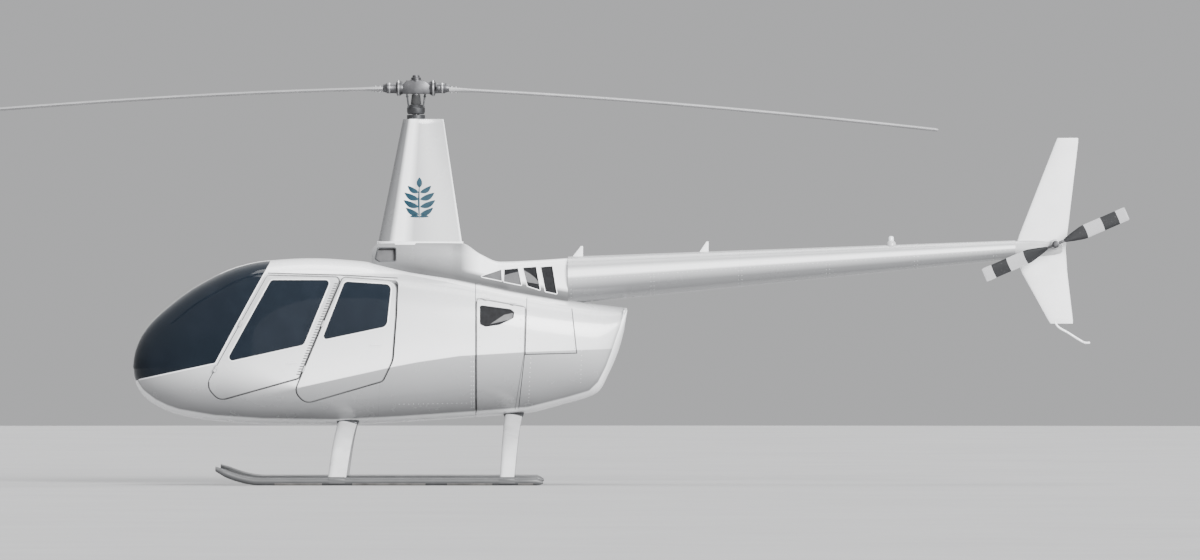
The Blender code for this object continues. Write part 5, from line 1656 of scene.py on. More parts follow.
def cowl_patch(outline, side, depth, thick=0.002):
    """A thin plate under the raised cowl's skin, reaching a little beyond an outline."""
    points = [Vector(point) for point in outline]
    points = spaced(grown(points, 0.006), 0.03)
    outer = [Vector((p.x, side * (cowl_side(p.x, p.y) - depth), p.y)) for p in points]
    inner = [point - Vector((0, side * thick, 0)) for point in outer]
    return loft([outer, inner])


def cowl_bead(outline, side, width, height):
    """A low rounded strip on the raised cowl along a closed line."""
    points = [Vector((p[0], side * cowl_side(p[0], p[1]), p[1])) for p in spaced(outline, 0.02)]
    rings = []
    for i, place in enumerate(points):
        along = (points[(i + 1) % len(points)] - points[i - 1]).normalized()
        out = Vector((0, side, 0.35)).normalized()
        across = out.cross(along).normalized()
        rings.append([place + across * a * width + out * b * height for a, b in bead_section(0.25)])
    return closed_strip(rings)


FAIRING_BASE_Z, FAIRING_TOP_Z = 2.252, 3.411
SPRIG_X = 0.033
fairing_front = smooth_curve([(FAIRING_BASE_Z, -0.355), (FAIRING_TOP_Z, -0.121)])
fairing_rear = smooth_curve([(FAIRING_BASE_Z, 0.430), (FAIRING_TOP_Z, 0.257)])


def fairing_section(z):
    """The mast fairing's outline in plan at a height."""
    reach = max(z, FAIRING_BASE_Z)
    thick = 0.26 - 0.07 * (z - FAIRING_BASE_Z) / (FAIRING_TOP_Z - FAIRING_BASE_Z)
    return streamlined(fairing_front(reach), fairing_rear(reach), thick, 26, 0.004)


def half_thick(section, x):
    """How far a streamlined section reaches from its middle line at a place along it."""
    upper = section[: len(section) // 2]
    return float(np.interp(x, [p[0] for p in upper], [p[1] for p in upper]))


def fairing_side(x, z):
    """The mast fairing's half width at a place in side view."""
    return half_thick(fairing_section(z), x)


def leaf(root, tip, width, side, bend=0.0):
    """A thin leaf shape on the fairing's side, from its root to its tip."""
    root, tip = Vector(root), Vector(tip)
    along = tip - root
    across = Vector((-along.y, along.x)).normalized()
    steps, rows = 12, []
    for i in range(steps + 1):
        t = i / steps
        middle = root + along * t + across * bend * math.sin(math.pi * t)
        half = width * (math.sin(math.pi * t) ** 0.8) * (1 - 0.25 * t) + 0.0006
        row = []
        for share in (-1, -0.5, 0, 0.5, 1):
            p = middle + across * half * share
            row.append(Vector((p.x, side * (fairing_side(p.x, p.y) + 0.0009), p.y)))
        rows.append(row)
    under = [[p - Vector((0, side * 0.0007, 0)) for p in row] for row in rows]
    rings = [top + list(reversed(low)) for top, low in zip(rows, under)]
    return loft(rings)


class HELI_OT_mast_fairing(Operator):
    """Build the tall streamlined mast fairing with its leaf ornament"""

    bl_idname = "helicopter.mast_fairing"
    bl_label = "Mast fairing"

    def execute(self, context):
        heights = evenly(FAIRING_BASE_Z - 0.04, FAIRING_TOP_Z - 0.006, 30)
        rings = [level_ring(fairing_section(z), z) for z in heights]
        top = [(x * 0.985 + 0.001, y * 0.96) for x, y in fairing_section(FAIRING_TOP_Z)]
        rings.append(level_ring(top, FAIRING_TOP_Z))
        finish(loft(rings), "fairing_tower", paint("fairing"), replaces=("mast_fairing",))
        base = [Vector(p) for p in fairing_section(FAIRING_BASE_Z)]
        steps = ((0.012, 2.236), (0.012, 2.264), (0.004, 2.268))
        flange = loft([level_ring(grown(base, growth), z) for growth, z in steps])
        finish(flange, "fairing_flange", paint("gloss"))
        for side, label in SIDES.items():
            sprig = bmesh.new()
            add_part(sprig, leaf((SPRIG_X, 2.475), (SPRIG_X, 2.80), 0.009, side, 0.006))
            for level, reach, width in (
                (2.53, 0.128, 0.027), (2.60, 0.148, 0.030), (2.67, 0.140, 0.030), (2.735, 0.110, 0.026),
            ):
                for way in (-1, 1):
                    root = (SPRIG_X + way * 0.006, level - 0.012)
                    tip = (SPRIG_X + way * reach, level + 0.052)
                    add_part(sprig, leaf(root, tip, width, side, -way * 0.012))
            add_part(sprig, leaf((SPRIG_X, 2.768), (SPRIG_X, 2.866), 0.029, side))
            for way in (-1, 1):
                tip = (SPRIG_X + way * 0.088, 2.496)
                add_part(sprig, leaf((SPRIG_X, 2.495), tip, 0.017, side, way * 0.010))
            finish(sprig, f"leaf_ornament_{label}", paint("emblem"))
        return {"FINISHED"}


# ---- Tail ---------------------------------------------------------------------------------------

CONE_FRONT_X, CONE_REAR_X = 1.42, 5.60
CONE_RADII, CONE_HEIGHTS = (0.221, 0.086), (1.905, 2.191)
cone_radius = smooth_curve(list(zip((CONE_FRONT_X, CONE_REAR_X), CONE_RADII)))
cone_height = smooth_curve(list(zip((CONE_FRONT_X, CONE_REAR_X), CONE_HEIGHTS)))
STABILIZER_SPAN, STABILIZER_Z = 0.92, 2.24
UPPER_FIN = [(2.20, 5.60, 6.072, 0.036), (2.318, 5.635, 6.084, 0.036), (3.234, 5.993, 6.193, 0.026)]
LOWER_FIN = [(1.500, 5.925, 6.143, 0.024), (1.986, 5.655, 6.085, 0.034), (2.20, 5.60, 6.072, 0.036)]


def cone_ring(x, extra=0.0, sides=56):
    """A ring round the boom."""
    return [Vector((x, a, cone_height(x) + b)) for a, b in circle(cone_radius(x) + extra, sides)]


def hoop(x, width, lift):
    """A thin band round the boom."""
    rings = [cone_ring(x, -0.004), cone_ring(x + width * 0.1, lift), cone_ring(x + width * 0.9, lift),
             cone_ring(x + width, -0.004)]
    return loft(rings)


def fin_at(levels, z):
    """A fin's front, rear and thickness at a height."""
    heights, *columns = zip(*levels)
    return [float(np.interp(z, heights, column)) for column in columns]


def fin_mesh(levels, tip_z):
    """A fin through (height, front, rear, thickness) levels, its outer corners eased."""
    rings = []
    for z in evenly(levels[0][0], levels[-1][0], 26):
        front, rear, thick = fin_at(levels, z)
        ease = max(0.0, 1 - abs(z - tip_z) / 0.02)
        front, rear = front + 0.003 * ease**2, rear - 0.004 * ease**2
        thick *= 1 - 0.5 * ease**3
        rings.append(level_ring(streamlined(front, rear, thick, 16, 0.0015), z))
    return loft(rings)


class HELI_OT_tail(Operator):
    """Build the boom, the fins, the stabilizer, the gearbox and what stands on them"""

    bl_idname = "helicopter.tail"
    bl_label = "Tail"

    def execute(self, context):
        stations = [CONE_FRONT_X + (CONE_REAR_X - CONE_FRONT_X) * i / 40 for i in range(41)]
        rings = [cone_ring(x) for x in stations]
        finish(loft(rings), "boom", paint("boom"), replaces=("tailcone",))
        bands = bmesh.new()
        for x in (1.455, 2.20, 3.02, 3.84, 4.66, 5.40):
            add_part(bands, hoop(x, 0.02, 0.0012))
        finish(bands, "boom_bands", paint("boom"))
        for name, levels, tip in (("upper_fin", UPPER_FIN, -1), ("lower_fin", LOWER_FIN, 0)):
            fin = fin_mesh(levels, levels[tip][0])
            finish(fin, f"{name}_skin", paint("gloss"), replaces=(name,))
        rings = []
        for y in evenly(0.02, STABILIZER_SPAN, 18):
            share = y / STABILIZER_SPAN
            ease = max(0.0, (share - 0.975) / 0.025)
            front, rear = 5.62 + 0.04 * share + 0.012 * ease, 5.98 - 0.02 * share - 0.012 * ease
            thick = (0.036 - 0.008 * share) * (1 - 0.6 * ease**2)
            section = streamlined(front, rear, thick, 16, 0.0015)
            rings.append([Vector((x, y, STABILIZER_Z + z)) for x, z in section])
        finish(loft(rings), "level_stabilizer", paint("gloss"), replaces=("stabilizer",))
        profile = [
            (0.070, 0.0), (0.074, 0.03), (0.078, 0.10), (0.0775, 0.17), (0.072, 0.27), (0.060, 0.37),
            (0.045, 0.425), (0.030, 0.44),
        ]
        case = turned(profile, (CONE_REAR_X, 0, 2.2), "X", 48)
        boss = [
            (0.050, 0.0), (0.050, -0.066), (0.046, -0.072), (0.040, -0.074), (0.038, -0.105),
            (0.036, -0.1437),
        ]
        add_part(case, turned(boss, (TAIL_HUB.x, 0, TAIL_HUB.z), "Y", 40))
        finish(case, "tail_gearbox_case", paint("strut"), replaces=("tail_gearbox",))
        guard = curved([
            (5.96, 0, 1.545), (6.00, 0, 1.470), (6.096, 0, 1.412), (6.19, 0, 1.352), (6.248, 0, 1.3215),
            (6.2985, 0, 1.3195),
        ], 6)
        finish(
            tube(guard, 0.0108, 20), "guard_tube", paint("gloss"),
            replaces=("tail_guard",),
        )
        for name, front, rear, tip in (
            ("antenna_front", 1.458, 1.561, 2.224), ("antenna_rear", 2.645, 2.734, 2.266),
        ):
            middle = (front + rear) / 2
            base = cone_height(middle) + cone_radius(middle) - 0.01
            rings = []
            for i in range(9):
                t = i / 8
                lean = front + (rear - 0.02 - front) * t
                section = streamlined(lean, rear, 0.011 * (1 - 0.35 * t), 10, 0.0008)
                rings.append(level_ring(section, base + (tip - base) * t))
            finish(loft(rings), f"{name}_blade", paint("gloss"), replaces=(name,))
        return {"FINISHED"}


class HELI_OT_lamps(Operator):
    """Build the beacon and the landing light"""

    bl_idname = "helicopter.lamps"
    bl_label = "Lamps"

    def execute(self, context):
        x = 4.44
        base = cone_height(x) + cone_radius(x)
        profile = [
            (0.046, base - 0.02), (0.046, base + 0.008), (0.043, base + 0.018), (0.034, base + 0.030),
            (0.027, base + 0.036),
        ]
        foot = turned(profile, (x, 0, 0), "Z", 40)
        finish(foot, "beacon_foot", paint("strut"))
        profile = [
            (0.0255, base + 0.034), (0.0255, 2.294), (0.0235, 2.306), (0.018, 2.314), (0.010, 2.3172),
            (0.002, 2.318),
        ]
        lens = turned(profile, (x, 0, 0), "Z", 40)
        finish(lens, "beacon_lens", paint("lamp"), replaces=("beacon",))
        repaint("landing_light", paint("lamp"))
        return {"FINISHED"}


# ---- Landing gear -------------------------------------------------------------------------------

SKID_RADIUS = 0.0375
SKID_Z = SKID_RADIUS
SKID_Y = 1.0587
SKID_BEND_X, SKID_TIP_X, SKID_TIP_RISE = -1.43, -1.85, 0.117
LEGS = (
    ("front_leg", (-0.625, 0.36, 0.60), (-0.725, SKID_Y, 0.045), (0.18, 0.165)),
    ("rear_leg", (0.916, 0.12, 0.665), (0.855, SKID_Y, 0.045), (0.165, 0.13)),
)


def skid_arc(x, side, radius, middle, spread, steps):
    """Points on an arc round a skid's tube, either way from a middle angle."""
    angles = [middle + (i / steps - 0.5) * spread for i in range(steps + 1)]
    return [
        Vector((x, side * SKID_Y + radius * math.cos(a), SKID_Z + radius * math.sin(a))) for a in angles
    ]


def leg_frame(root, foot, chords, side, share):
    """A leg's place and chord along its length."""
    middle = Vector(root).lerp(Vector(foot), share)
    middle.z += math.sin(math.pi * share) * 0.075
    return Vector((middle.x, side * middle.y, middle.z)), chords[0] + (chords[1] - chords[0]) * share


class HELI_OT_landing_gear(Operator):
    """Build the skids with their wear shoes, and the faired legs with their cuffs"""

    bl_idname = "helicopter.landing_gear"
    bl_label = "Landing gear"

    def execute(self, context):
        for side, label in SIDES.items():
            path = [(1.192, -0.012, 0.012), (1.16, -0.006, 0.0275), (1.13, 0.0, SKID_RADIUS)]
            path += [(x, 0.0, SKID_RADIUS) for x in evenly(1.0, SKID_BEND_X, 12)]
            for i in range(1, 15):
                share = i / 14
                radius = SKID_RADIUS * (1 - 0.4 * max(0, share - 0.8) / 0.2)
                x = SKID_BEND_X + (SKID_TIP_X - SKID_BEND_X) * share
                path.append((x, SKID_TIP_RISE * share**1.8, radius))
            rings = [
                [Vector((x, side * SKID_Y, SKID_Z + rise)) + Vector((0, a, b)) for a, b in circle(radius, 40)]
                for x, rise, radius in path
            ]
            finish(
                loft(rings), f"skid_tube_{label}", paint("skid"),
                replaces=(f"skid_{label}",),
            )
            shoes = bmesh.new()
            for low, high in ((-1.30, -0.86), (-0.58, 0.10), (0.30, 0.72), (0.96, 1.10)):
                rings = []
                for x in (low, low + 0.006, high - 0.006, high):
                    lift = 0.0 if x in (low, high) else 0.0009
                    outer, inner = (
                        skid_arc(x, side, radius, -math.pi / 2, 2.2, 20)
                        for radius in (SKID_RADIUS + lift, 0.034)
                    )
                    rings.append([Vector((p.x, p.y, max(p.z, 0.0))) for p in outer + inner[::-1]])
                add_part(shoes, loft(rings))
            finish(shoes, f"wear_shoes_{label}", paint("worn"))
            for name, root, foot, chords in LEGS:
                sections, line = [], []
                for i in range(25):
                    place, chord = leg_frame(root, foot, chords, side, i / 24)
                    line.append(place)
                    sections.append([
                        (x, y) for x, y in streamlined(-chord / 2, chord / 2, chord * 0.29, 14, 0.0015)
                    ])
                strut = leg_loft(line, sections)
                finish(strut, f"{name}_fairing_{label}", paint("strut"),
                       replaces=(f"{name}_{label}",))
                cuff = leg_cuff(root, foot, chords, side)
                finish(cuff, f"{name}_cuff_{label}", paint("dark"))
                saddle = leg_saddle(foot[0], side)
                finish(saddle, f"{name}_saddle_{label}", paint("skid"))
        return {"FINISHED"}


def leg_loft(line, sections):
    """A streamlined leg: its sections lie square to its line, the nose forward."""
    rings = []
    for i, (place, section) in enumerate(zip(line, sections)):
        along = (line[min(i + 1, len(line) - 1)] - line[max(i - 1, 0)]).normalized()
        ahead = Vector((1, 0, 0))
        ahead = (ahead - along * ahead.dot(along)).normalized()
        up = along.cross(ahead).normalized()
        rings.append([place + ahead * a + up * b for a, b in section])
    return loft(rings)


def leg_cuff(root, foot, chords, side):
    """A dark cuff where a leg leaves the body."""
    shares = []
    for i in range(400):
        place, _ = leg_frame(root, foot, chords, side, i / 400)
        if body_bottom(place.x) < place.z and abs(place.y) < skin_reach(place.x, place.z):
            shares.append(i / 400)
    start = max(shares) if shares else 0.05
    line, sections = [], []
    for ahead, growth in ((-0.05, 1.16), (0.035, 1.14), (0.06, 1.08), (0.065, 1.0)):
        place, chord = leg_frame(root, foot, chords, side, max(start + ahead, 0.0))
        line.append(place)
        sections.append([
            (x * 0.5 * chord * growth, y * 0.5 * chord * growth) for x, y in circle(1.0, 40, 0.33)
        ])
    return leg_loft(line, sections)


def leg_saddle(x, side):
    """The clamp round the skid under a leg, kept inside the solids' width and off the ground."""
    rings, half = [], 1.0961
    for reach, radius in ((-0.075, 0.0385), (-0.072, 0.0415), (0.072, 0.0415), (0.075, 0.0385)):
        outer, inner = (skid_arc(x + reach, side, r, math.pi / 2, 4.4, 30) for r in (radius, 0.036))
        ring = outer + inner[::-1]
        rings.append([Vector((p.x, max(-half, min(half, p.y)), max(p.z, 0.0004))) for p in ring])
    return loft(rings)


# ---- Rotors -------------------------------------------------------------------------------------

MAIN_RADIUS, MAIN_CHORD = 4.88, 0.254
HUB_Z = 3.70
TAIL_HUB = Vector((5.972, -0.20, 2.239))
TAIL_ROOT, TAIL_RADIUS, TAIL_CHORD = 0.085, 0.726, 0.13
TAIL_TURN = math.radians(23.5)


def blade_ring(direction, reach):
    """A main blade's section at a distance from the mast."""
    root = max(0.0, 1 - (reach - 0.31) / 0.30)
    root = root * root * (3 - 2 * root)
    tip = max(0.0, (reach - (MAIN_RADIUS - 0.03)) / 0.03)
    chord = MAIN_CHORD * (1 - 0.55 * root) * (1 - 0.14 * tip**2)
    thick = (0.034 + 0.012 * root) * (1 - 0.4 * tip**3)
    outline = streamlined(-chord * 0.35, chord * 0.65, thick, 16, 0.0012)
    tilt = direction * reach * math.sin(math.radians(0.66))
    z = HUB_Z - 0.005 - 0.332 * (reach / MAIN_RADIUS) ** 1.47 - tilt
    return [Vector((direction * reach, direction * y, z + up)) for y, up in outline]


class HELI_OT_main_rotor(Operator):
    """Build the main rotor: mast, swashplates, hub, grips and blades"""

    bl_idname = "helicopter.main_rotor"
    bl_label = "Main rotor"

    def execute(self, context):
        for name, direction in (("a", -1), ("b", 1)):
            reaches = [0.31, 0.33] + [0.36 + 0.035 * i for i in range(9)]
            reaches += evenly(0.72, MAIN_RADIUS - 0.04, 44)
            reaches += [MAIN_RADIUS - inset for inset in (0.03, 0.015, 0.006, 0.0)]
            blade = loft([blade_ring(direction, reach) for reach in reaches])
            finish(
                blade, f"rotor_blade_{name}", paint("blade"), "main_rotor",
                (f"main_blade_{name}",),
            )
            bolts = bmesh.new()
            for bolt in (0.335, 0.375):
                z = blade_ring(direction, bolt)[0].z
                head = [(0.012, -0.030), (0.014, -0.028), (0.014, 0.028), (0.012, 0.030)]
                add_part(bolts, turned(head, (direction * bolt, 0, z), "Z", 6))
            finish(bolts, f"blade_bolts_{name}", paint("steel"), "main_rotor")
        hump = [
            (-0.13, 3.645), (-0.13, HUB_Z + 0.026), (-0.105, HUB_Z + 0.05), (-0.088, HUB_Z + 0.072),
            (0.072, HUB_Z + 0.072), (0.105, HUB_Z + 0.05), (0.13, HUB_Z + 0.026), (0.13, 3.645),
        ]
        hub = plate(hump, -0.055, 0.055, bevel=0.009)
        cap = [
            (0.058, 0.06), (0.058, 0.076), (0.046, 0.08), (0.046, 0.098), (0.034, 0.102), (0.033, 0.116),
            (0.026, 0.122),
        ]
        add_part(hub, turned([(r, HUB_Z + rise) for r, rise in cap], (0, 0, 0), "Z", 36))
        grip = [
            (0.052, 0.10), (0.053, 0.118), (0.072, 0.15), (0.076, 0.157), (0.076, 0.171), (0.070, 0.175),
            (0.050, 0.186), (0.048, 0.235), (0.050, 0.239), (0.050, 0.268), (0.045, 0.273), (0.038, 0.295),
            (0.035, 0.3095),
        ]
        for direction in (-1, 1):
            add_part(hub, turned([(r, direction * x) for r, x in grip], (0, 0, HUB_Z), "X", 40))
            near, far = sorted((direction * 0.19, direction * 0.225))
            low, high = sorted((direction * -0.03, direction * -0.085))
            add_part(hub, block((near, low, HUB_Z - 0.018), (far, high, HUB_Z + 0.018), 0.006))
        finish(hub, "teetering_hub", paint("hub"), "main_rotor", ("rotor_hub",))
        collars = bmesh.new()
        for direction in (-1, 1):
            for reach in (0.153, 0.238):
                radius = 0.0775 if reach < 0.2 else 0.0515
                ring = ((radius - 0.006, 0.0), (radius, 0.003), (radius, 0.015), (radius - 0.006, 0.018))
                profile = [(r, direction * (reach + ahead)) for r, ahead in ring]
                add_part(collars, turned(profile, (0, 0, HUB_Z), "X", 40))
        finish(collars, "grip_collars", paint("steel"), "main_rotor")
        profile = [
            (0.052, 3.4115), (0.083, 3.4115), (0.085, 3.4145), (0.085, 3.4465), (0.080, 3.45), (0.052, 3.45),
        ]
        lower = turned(profile, (0, 0, 0), "Z", 48)
        finish(
            lower, "fixed_swashplate", paint("dark"), replaces=("swashplate_lower",),
        )
        profile = [
            (0.036, 3.4565), (0.073, 3.4565), (0.080, 3.462), (0.085, 3.480), (0.085, 3.512),
            (0.074, 3.522), (0.060, 3.545), (0.036, 3.545),
        ]
        upper = turned(profile, (0, 0, 0), "Z", 48)
        for way in (-1, 1):
            foot = Vector((way * 0.065, way * 0.03, 3.50))
            head = Vector((way * 0.0845, way * 0.0495, 3.6435))
            add_part(upper, tube([foot, head], 0.008, 14))
            for share in (0.12, 0.80):
                low = foot.lerp(head, share)
                add_part(upper, tube([low, low.lerp(head, 0.10 / (1 - share) * 0.9)], 0.012, 6))
        finish(
            upper, "turning_swashplate", paint("dark"), "main_rotor", ("swashplate_upper",),
        )
        boot = [(0.034, 3.546), (0.052, 3.548)]
        for i in range(9):
            z = 3.552 + i * 0.0095
            boot += [(0.047 - 0.0012 * i, z), (0.053 - 0.0012 * i, z + 0.0045)]
        boot += [(0.040, 3.638), (0.034, 3.640)]
        bellows = turned(boot, (0, 0, 0), "Z", 36)
        finish(bellows, "mast_bellows", paint("rubber"), "main_rotor")
        profile = [(0.030, 2.2005), (0.033, 2.2035), (0.033, 3.655), (0.031, 3.658)]
        shaft = turned(profile, (0, 0, 0), "Z", 40)
        finish(shaft, "rotor_mast", paint("steel"), "main_rotor", ("main_mast",))
        return {"FINISHED"}


class HELI_OT_tail_rotor(Operator):
    """Build the tail rotor with its banded blades"""

    bl_idname = "helicopter.tail_rotor"
    bl_label = "Tail rotor"

    def execute(self, context):
        along = Vector((math.cos(TAIL_TURN), 0, math.sin(TAIL_TURN)))
        across = Vector((-along.z, 0, along.x))
        chord_at = smooth_curve([
            (TAIL_ROOT, 0.030), (0.12, 0.05), (0.20, 0.094), (0.30, TAIL_CHORD), (TAIL_RADIUS, TAIL_CHORD),
        ])
        thick_at = smooth_curve([(TAIL_ROOT, 0.02), (0.30, 0.018), (TAIL_RADIUS, 0.014)])
        reaches = evenly(0.0853, 0.31, 14) + evenly(0.33, 0.70, 14) + [0.712, 0.721, TAIL_RADIUS]
        for name, direction in (("a", 1), ("b", -1)):
            rings = []
            for reach in reaches:
                tip = max(0.0, (reach - 0.706) / 0.02)
                chord = chord_at(reach) * (1 - 0.06 * tip**2)
                thick = thick_at(reach) * (1 - 0.4 * tip**3)
                middle = TAIL_HUB + along * direction * reach
                rings.append([
                    middle + across * direction * a + Vector((0, b, 0))
                    for a, b in streamlined(-chord / 2, chord / 2, thick, 14, 0.001)
                ])
            finish(
                loft(rings), f"banded_tail_blade_{name}", paint("bands"), "tail_rotor",
                (f"tail_blade_{name}",),
            )
        profile = [
            (0.030, 0.056), (0.030, -0.020), (0.034, -0.022), (0.034, -0.030), (0.024, -0.034),
            (0.020, -0.044), (0.012, -0.0448),
        ]
        hub = turned(profile, TAIL_HUB, "Y", 36)
        reaches = (-TAIL_ROOT, -0.07, -0.03, 0.03, 0.07, TAIL_ROOT)
        sizes = (0.016, 0.022, 0.022, 0.022, 0.022, 0.016)
        yoke = sweep([TAIL_HUB + along * reach for reach in reaches], [circle(r, 24, 0.62) for r in sizes])
        add_part(hub, yoke)
        for way in (-1, 1):
            place = TAIL_HUB + along * way * 0.068
            add_part(hub, turned([(0.007, 0.019), (0.007, -0.019)], place, "Y", 6))
        finish(hub, "tail_rotor_yoke", paint("hub"), "tail_rotor", ("tail_rotor_hub",))
        return {"FINISHED"}


# ---- Cabin --------------------------------------------------------------------------------------

CUSHION_CAP, CUSHION_VOXEL = 0.016, 0.010
CLOTH_FRAMES = 20
SEAM_DEPTH = 0.026


def pad_form(low, high, lean=0.0, crown=0.02):
    """A crowned cushion form with seams between grooves, leaning aft with height."""
    size = Vector(high) - Vector(low)
    centre = (Vector(high) + Vector(low)) / 2
    mesh = bmesh.new()
    bmesh.ops.create_cube(mesh, size=2.0)
    bmesh.ops.subdivide_edges(mesh, edges=mesh.edges, cuts=29, use_grid_fill=True)
    thin, wide = min(range(3), key=lambda i: size[i]), 1
    long = 3 - thin - wide
    for vert in mesh.verts:
        soft = [math.copysign(abs(v) ** 0.9, v) for v in vert.co]
        bulge = (1 - soft[long] ** 2) * (1 - soft[wide] ** 2)
        pull = [1.0, 1.0, 1.0]
        pull[long] -= 0.03 * (1 - soft[wide] ** 2)
        pull[wide] -= 0.03 * (1 - soft[long] ** 2)
        out = Vector([soft[i] * size[i] / 2 * pull[i] for i in range(3)])
        edge = max(abs(soft[long]), abs(soft[wide]))
        out[thin] *= 1 - 0.45 * edge**6
        seams = sum(math.exp(-(((soft[wide] - seam) / 0.10) ** 2)) for seam in (-0.5, 0.0, 0.5))
        cross = math.exp(-(((soft[long] + 0.55) / 0.08) ** 2))
        sewn = SEAM_DEPTH * min(1.0, seams + cross) * (1 - edge**8)
        if abs(soft[thin]) > 0.5:
            out[thin] += math.copysign(crown * bulge - sewn, soft[thin])
        out += centre
        out.x += lean * (out.z - Vector(low).z)
        vert.co = out
    return mesh


def bake(item):
    """A plain mesh of a piece as its modifiers leave it."""
    graph = bpy.context.evaluated_depsgraph_get()
    data = bpy.data.meshes.new_from_object(item.evaluated_get(graph))
    item.modifiers.clear()
    return data


def places_of(data):
    """A mesh's points as rows of x, y and z."""
    places = np.empty(len(data.vertices) * 3)
    data.vertices.foreach_get("co", places)
    return places.reshape(-1, 3)


def soften(item, times_over):
    """Even out a cushion's skin."""
    even = item.modifiers.new("even", "SMOOTH")
    even.factor, even.iterations = 0.5, times_over


def swell(item, cap):
    """Swell a cushion with a short cloth run, no point moving further than the cap."""
    shape = item.modifiers.new("shape", "REMESH")
    shape.mode, shape.voxel_size, shape.use_smooth_shade = "VOXEL", CUSHION_VOXEL, True
    soften(item, 4)
    bpy.context.view_layer.update()
    data = item.data = bake(item)
    before = places_of(data)
    cloth = item.modifiers.new("swell", "CLOTH")
    cloth.settings.use_pressure = True
    cloth.settings.uniform_pressure_force = 4.0
    cloth.settings.effector_weights.gravity = 0.0
    cloth.settings.tension_stiffness = 20
    cloth.settings.quality = 5
    cloth.point_cache.frame_end = CLOTH_FRAMES
    for number in range(1, CLOTH_FRAMES + 1):
        bpy.context.scene.frame_set(number)
    move = places_of(bake(item)) - before
    length = np.linalg.norm(move, axis=1, keepdims=True)
    move *= np.minimum(1.0, cap / np.maximum(length, 1e-9))
    data.vertices.foreach_set("co", (before + move).ravel())
    data.update()
    bpy.context.scene.frame_set(1)
    soften(item, 3)
    fine = item.modifiers.new("fine", "SUBSURF")
    fine.levels = fine.render_levels = 1
    bpy.context.view_layer.update()
    item.data = bake(item)


def cushion(mesh, name):
    """Make a pad form a padded piece in leather."""
    item = finish(mesh, name, paint("leather"), sharp=180)
    swell(item, CUSHION_CAP)


class HELI_OT_seats(Operator):
    """Build the front seats and the rear bench: shells and padded cushions"""

    bl_idname = "helicopter.seats"
    bl_label = "Seats"

    def execute(self, context):
        for side, label in SIDES.items():
            low, high = sorted((side * 0.075, side * 0.525))
            box = [(-1.30, 0.745), (-1.335, 1.02), (-1.33, 1.03), (-0.86, 1.00), (-0.84, 0.745)]
            shell = plate(box, low, high, bevel=0.012)
            back = [(-0.90, 1.0), (-0.775, 1.475), (-0.735, 1.47), (-0.845, 1.0)]
            add_part(shell, plate(back, low + 0.01, high - 0.01, bevel=0.008))
            finish(
                shell, f"front_seat_shell_{label}", paint("plastic"),
                replaces=(f"front_seat_{label}",),
            )
            base = pad_form((-1.335, low + 0.01, 1.035), (-0.93, high - 0.01, 1.105), 0.0, 0.010)
            cushion(base, f"front_seat_cushion_{label}")
            rest = pad_form((-0.955, low + 0.015, 1.11), (-0.885, high - 0.015, 1.48), 0.29, 0.008)
            cushion(rest, f"front_seat_back_{label}")
        box = [(-0.40, 0.745), (-0.415, 0.93), (0.155, 0.93), (0.155, 0.745)]
        shell = plate(box, -0.44, 0.44, bevel=0.012)
        seat = [(-0.415, 0.93), (-0.43, 1.06), (0.02, 1.04), (0.075, 1.58), (0.155, 1.60), (0.155, 0.93)]
        add_part(shell, plate(seat, -0.58, 0.58, bevel=0.012))
        finish(shell, "bench_shell", paint("plastic"), replaces=("rear_bench",))
        for number, (low, high) in enumerate(((-0.60, -0.205), (-0.195, 0.195), (0.205, 0.60)), 1):
            base = pad_form((-0.45, low, 1.065), (-0.03, high, 1.135), 0.0, 0.010)
            cushion(base, f"bench_cushion_{number}")
            rest = pad_form((-0.045, low + 0.01, 1.14), (0.02, high - 0.01, 1.60), 0.10, 0.008)
            cushion(rest, f"bench_back_{number}")
        return {"FINISHED"}


class HELI_OT_cockpit(Operator):
    """Build the instrument console, the control stick and the bulkhead's finish"""

    bl_idname = "helicopter.cockpit"
    bl_label = "Cockpit"

    def execute(self, context):
        low, high = (-1.84, 1.05), (-1.90, 1.34)
        outline = [
            (-2.02, 0.745), (-2.10, 1.10), (-2.04, 1.34), (-1.96, 1.38), high, low, (-1.66, 0.98),
            (-1.50, 0.94), (-1.48, 0.745),
        ]
        console = plate(outline, -0.148, 0.148, bevel=0.014)
        finish(
            console, "instrument_console", paint("plastic"), replaces=("console",),
        )
        dials, glass = bmesh.new(), bmesh.new()
        foot = Vector((low[0], 0, low[1]))
        face = Vector((high[0], 0, high[1])) - foot
        out = Vector((-face.z, 0, face.x)).normalized() * -1
        for row in range(3):
            for column in range(3):
                place = foot + face * (0.24 + 0.27 * row) + Vector((0, (column - 1) * 0.088, 0))
                guide = [place + out * reach for reach in (-0.002, 0.004, 0.0045)]
                add_part(dials, sweep(guide, [circle(r, 28) for r in (0.037, 0.037, 0.033)]))
                guide = [place + out * reach for reach in (0.0042, 0.0062)]
                add_part(glass, sweep(guide, [circle(0.031, 28)] * 2))
        finish(dials, "instrument_bezels", paint("dark"))
        finish(glass, "instrument_faces", paint("glass"))
        stem = curved([(-1.42, 0, 0.742), (-1.42, 0, 0.95), (-1.432, 0, 1.10), (-1.46, 0, 1.213)], 6)
        stick = tube(stem, 0.016, 18)
        add_part(stick, tube([(-1.46, -0.33, 1.21), (-1.46, 0.33, 1.21)], 0.0115, 16))
        for way in (-1, 1):
            grip = [(-1.46, way * 0.30, 1.205), (-1.463, way * 0.318, 1.16), (-1.455, way * 0.322, 1.11)]
            sizes = [circle(r, 16, 0.8) for r in (0.0135, 0.017, 0.014)]
            add_part(stick, sweep(grip, sizes))
        finish(stick, "cyclic_stick", paint("dark"), replaces=("control_stick",))
        repaint("rear_bulkhead", paint("liner"))
        repaint("engine", paint("engine"))
        repaint("main_gearbox", paint("engine"))
        return {"FINISHED"}


# ---- Rivets and ribs ----------------------------------------------------------------------------


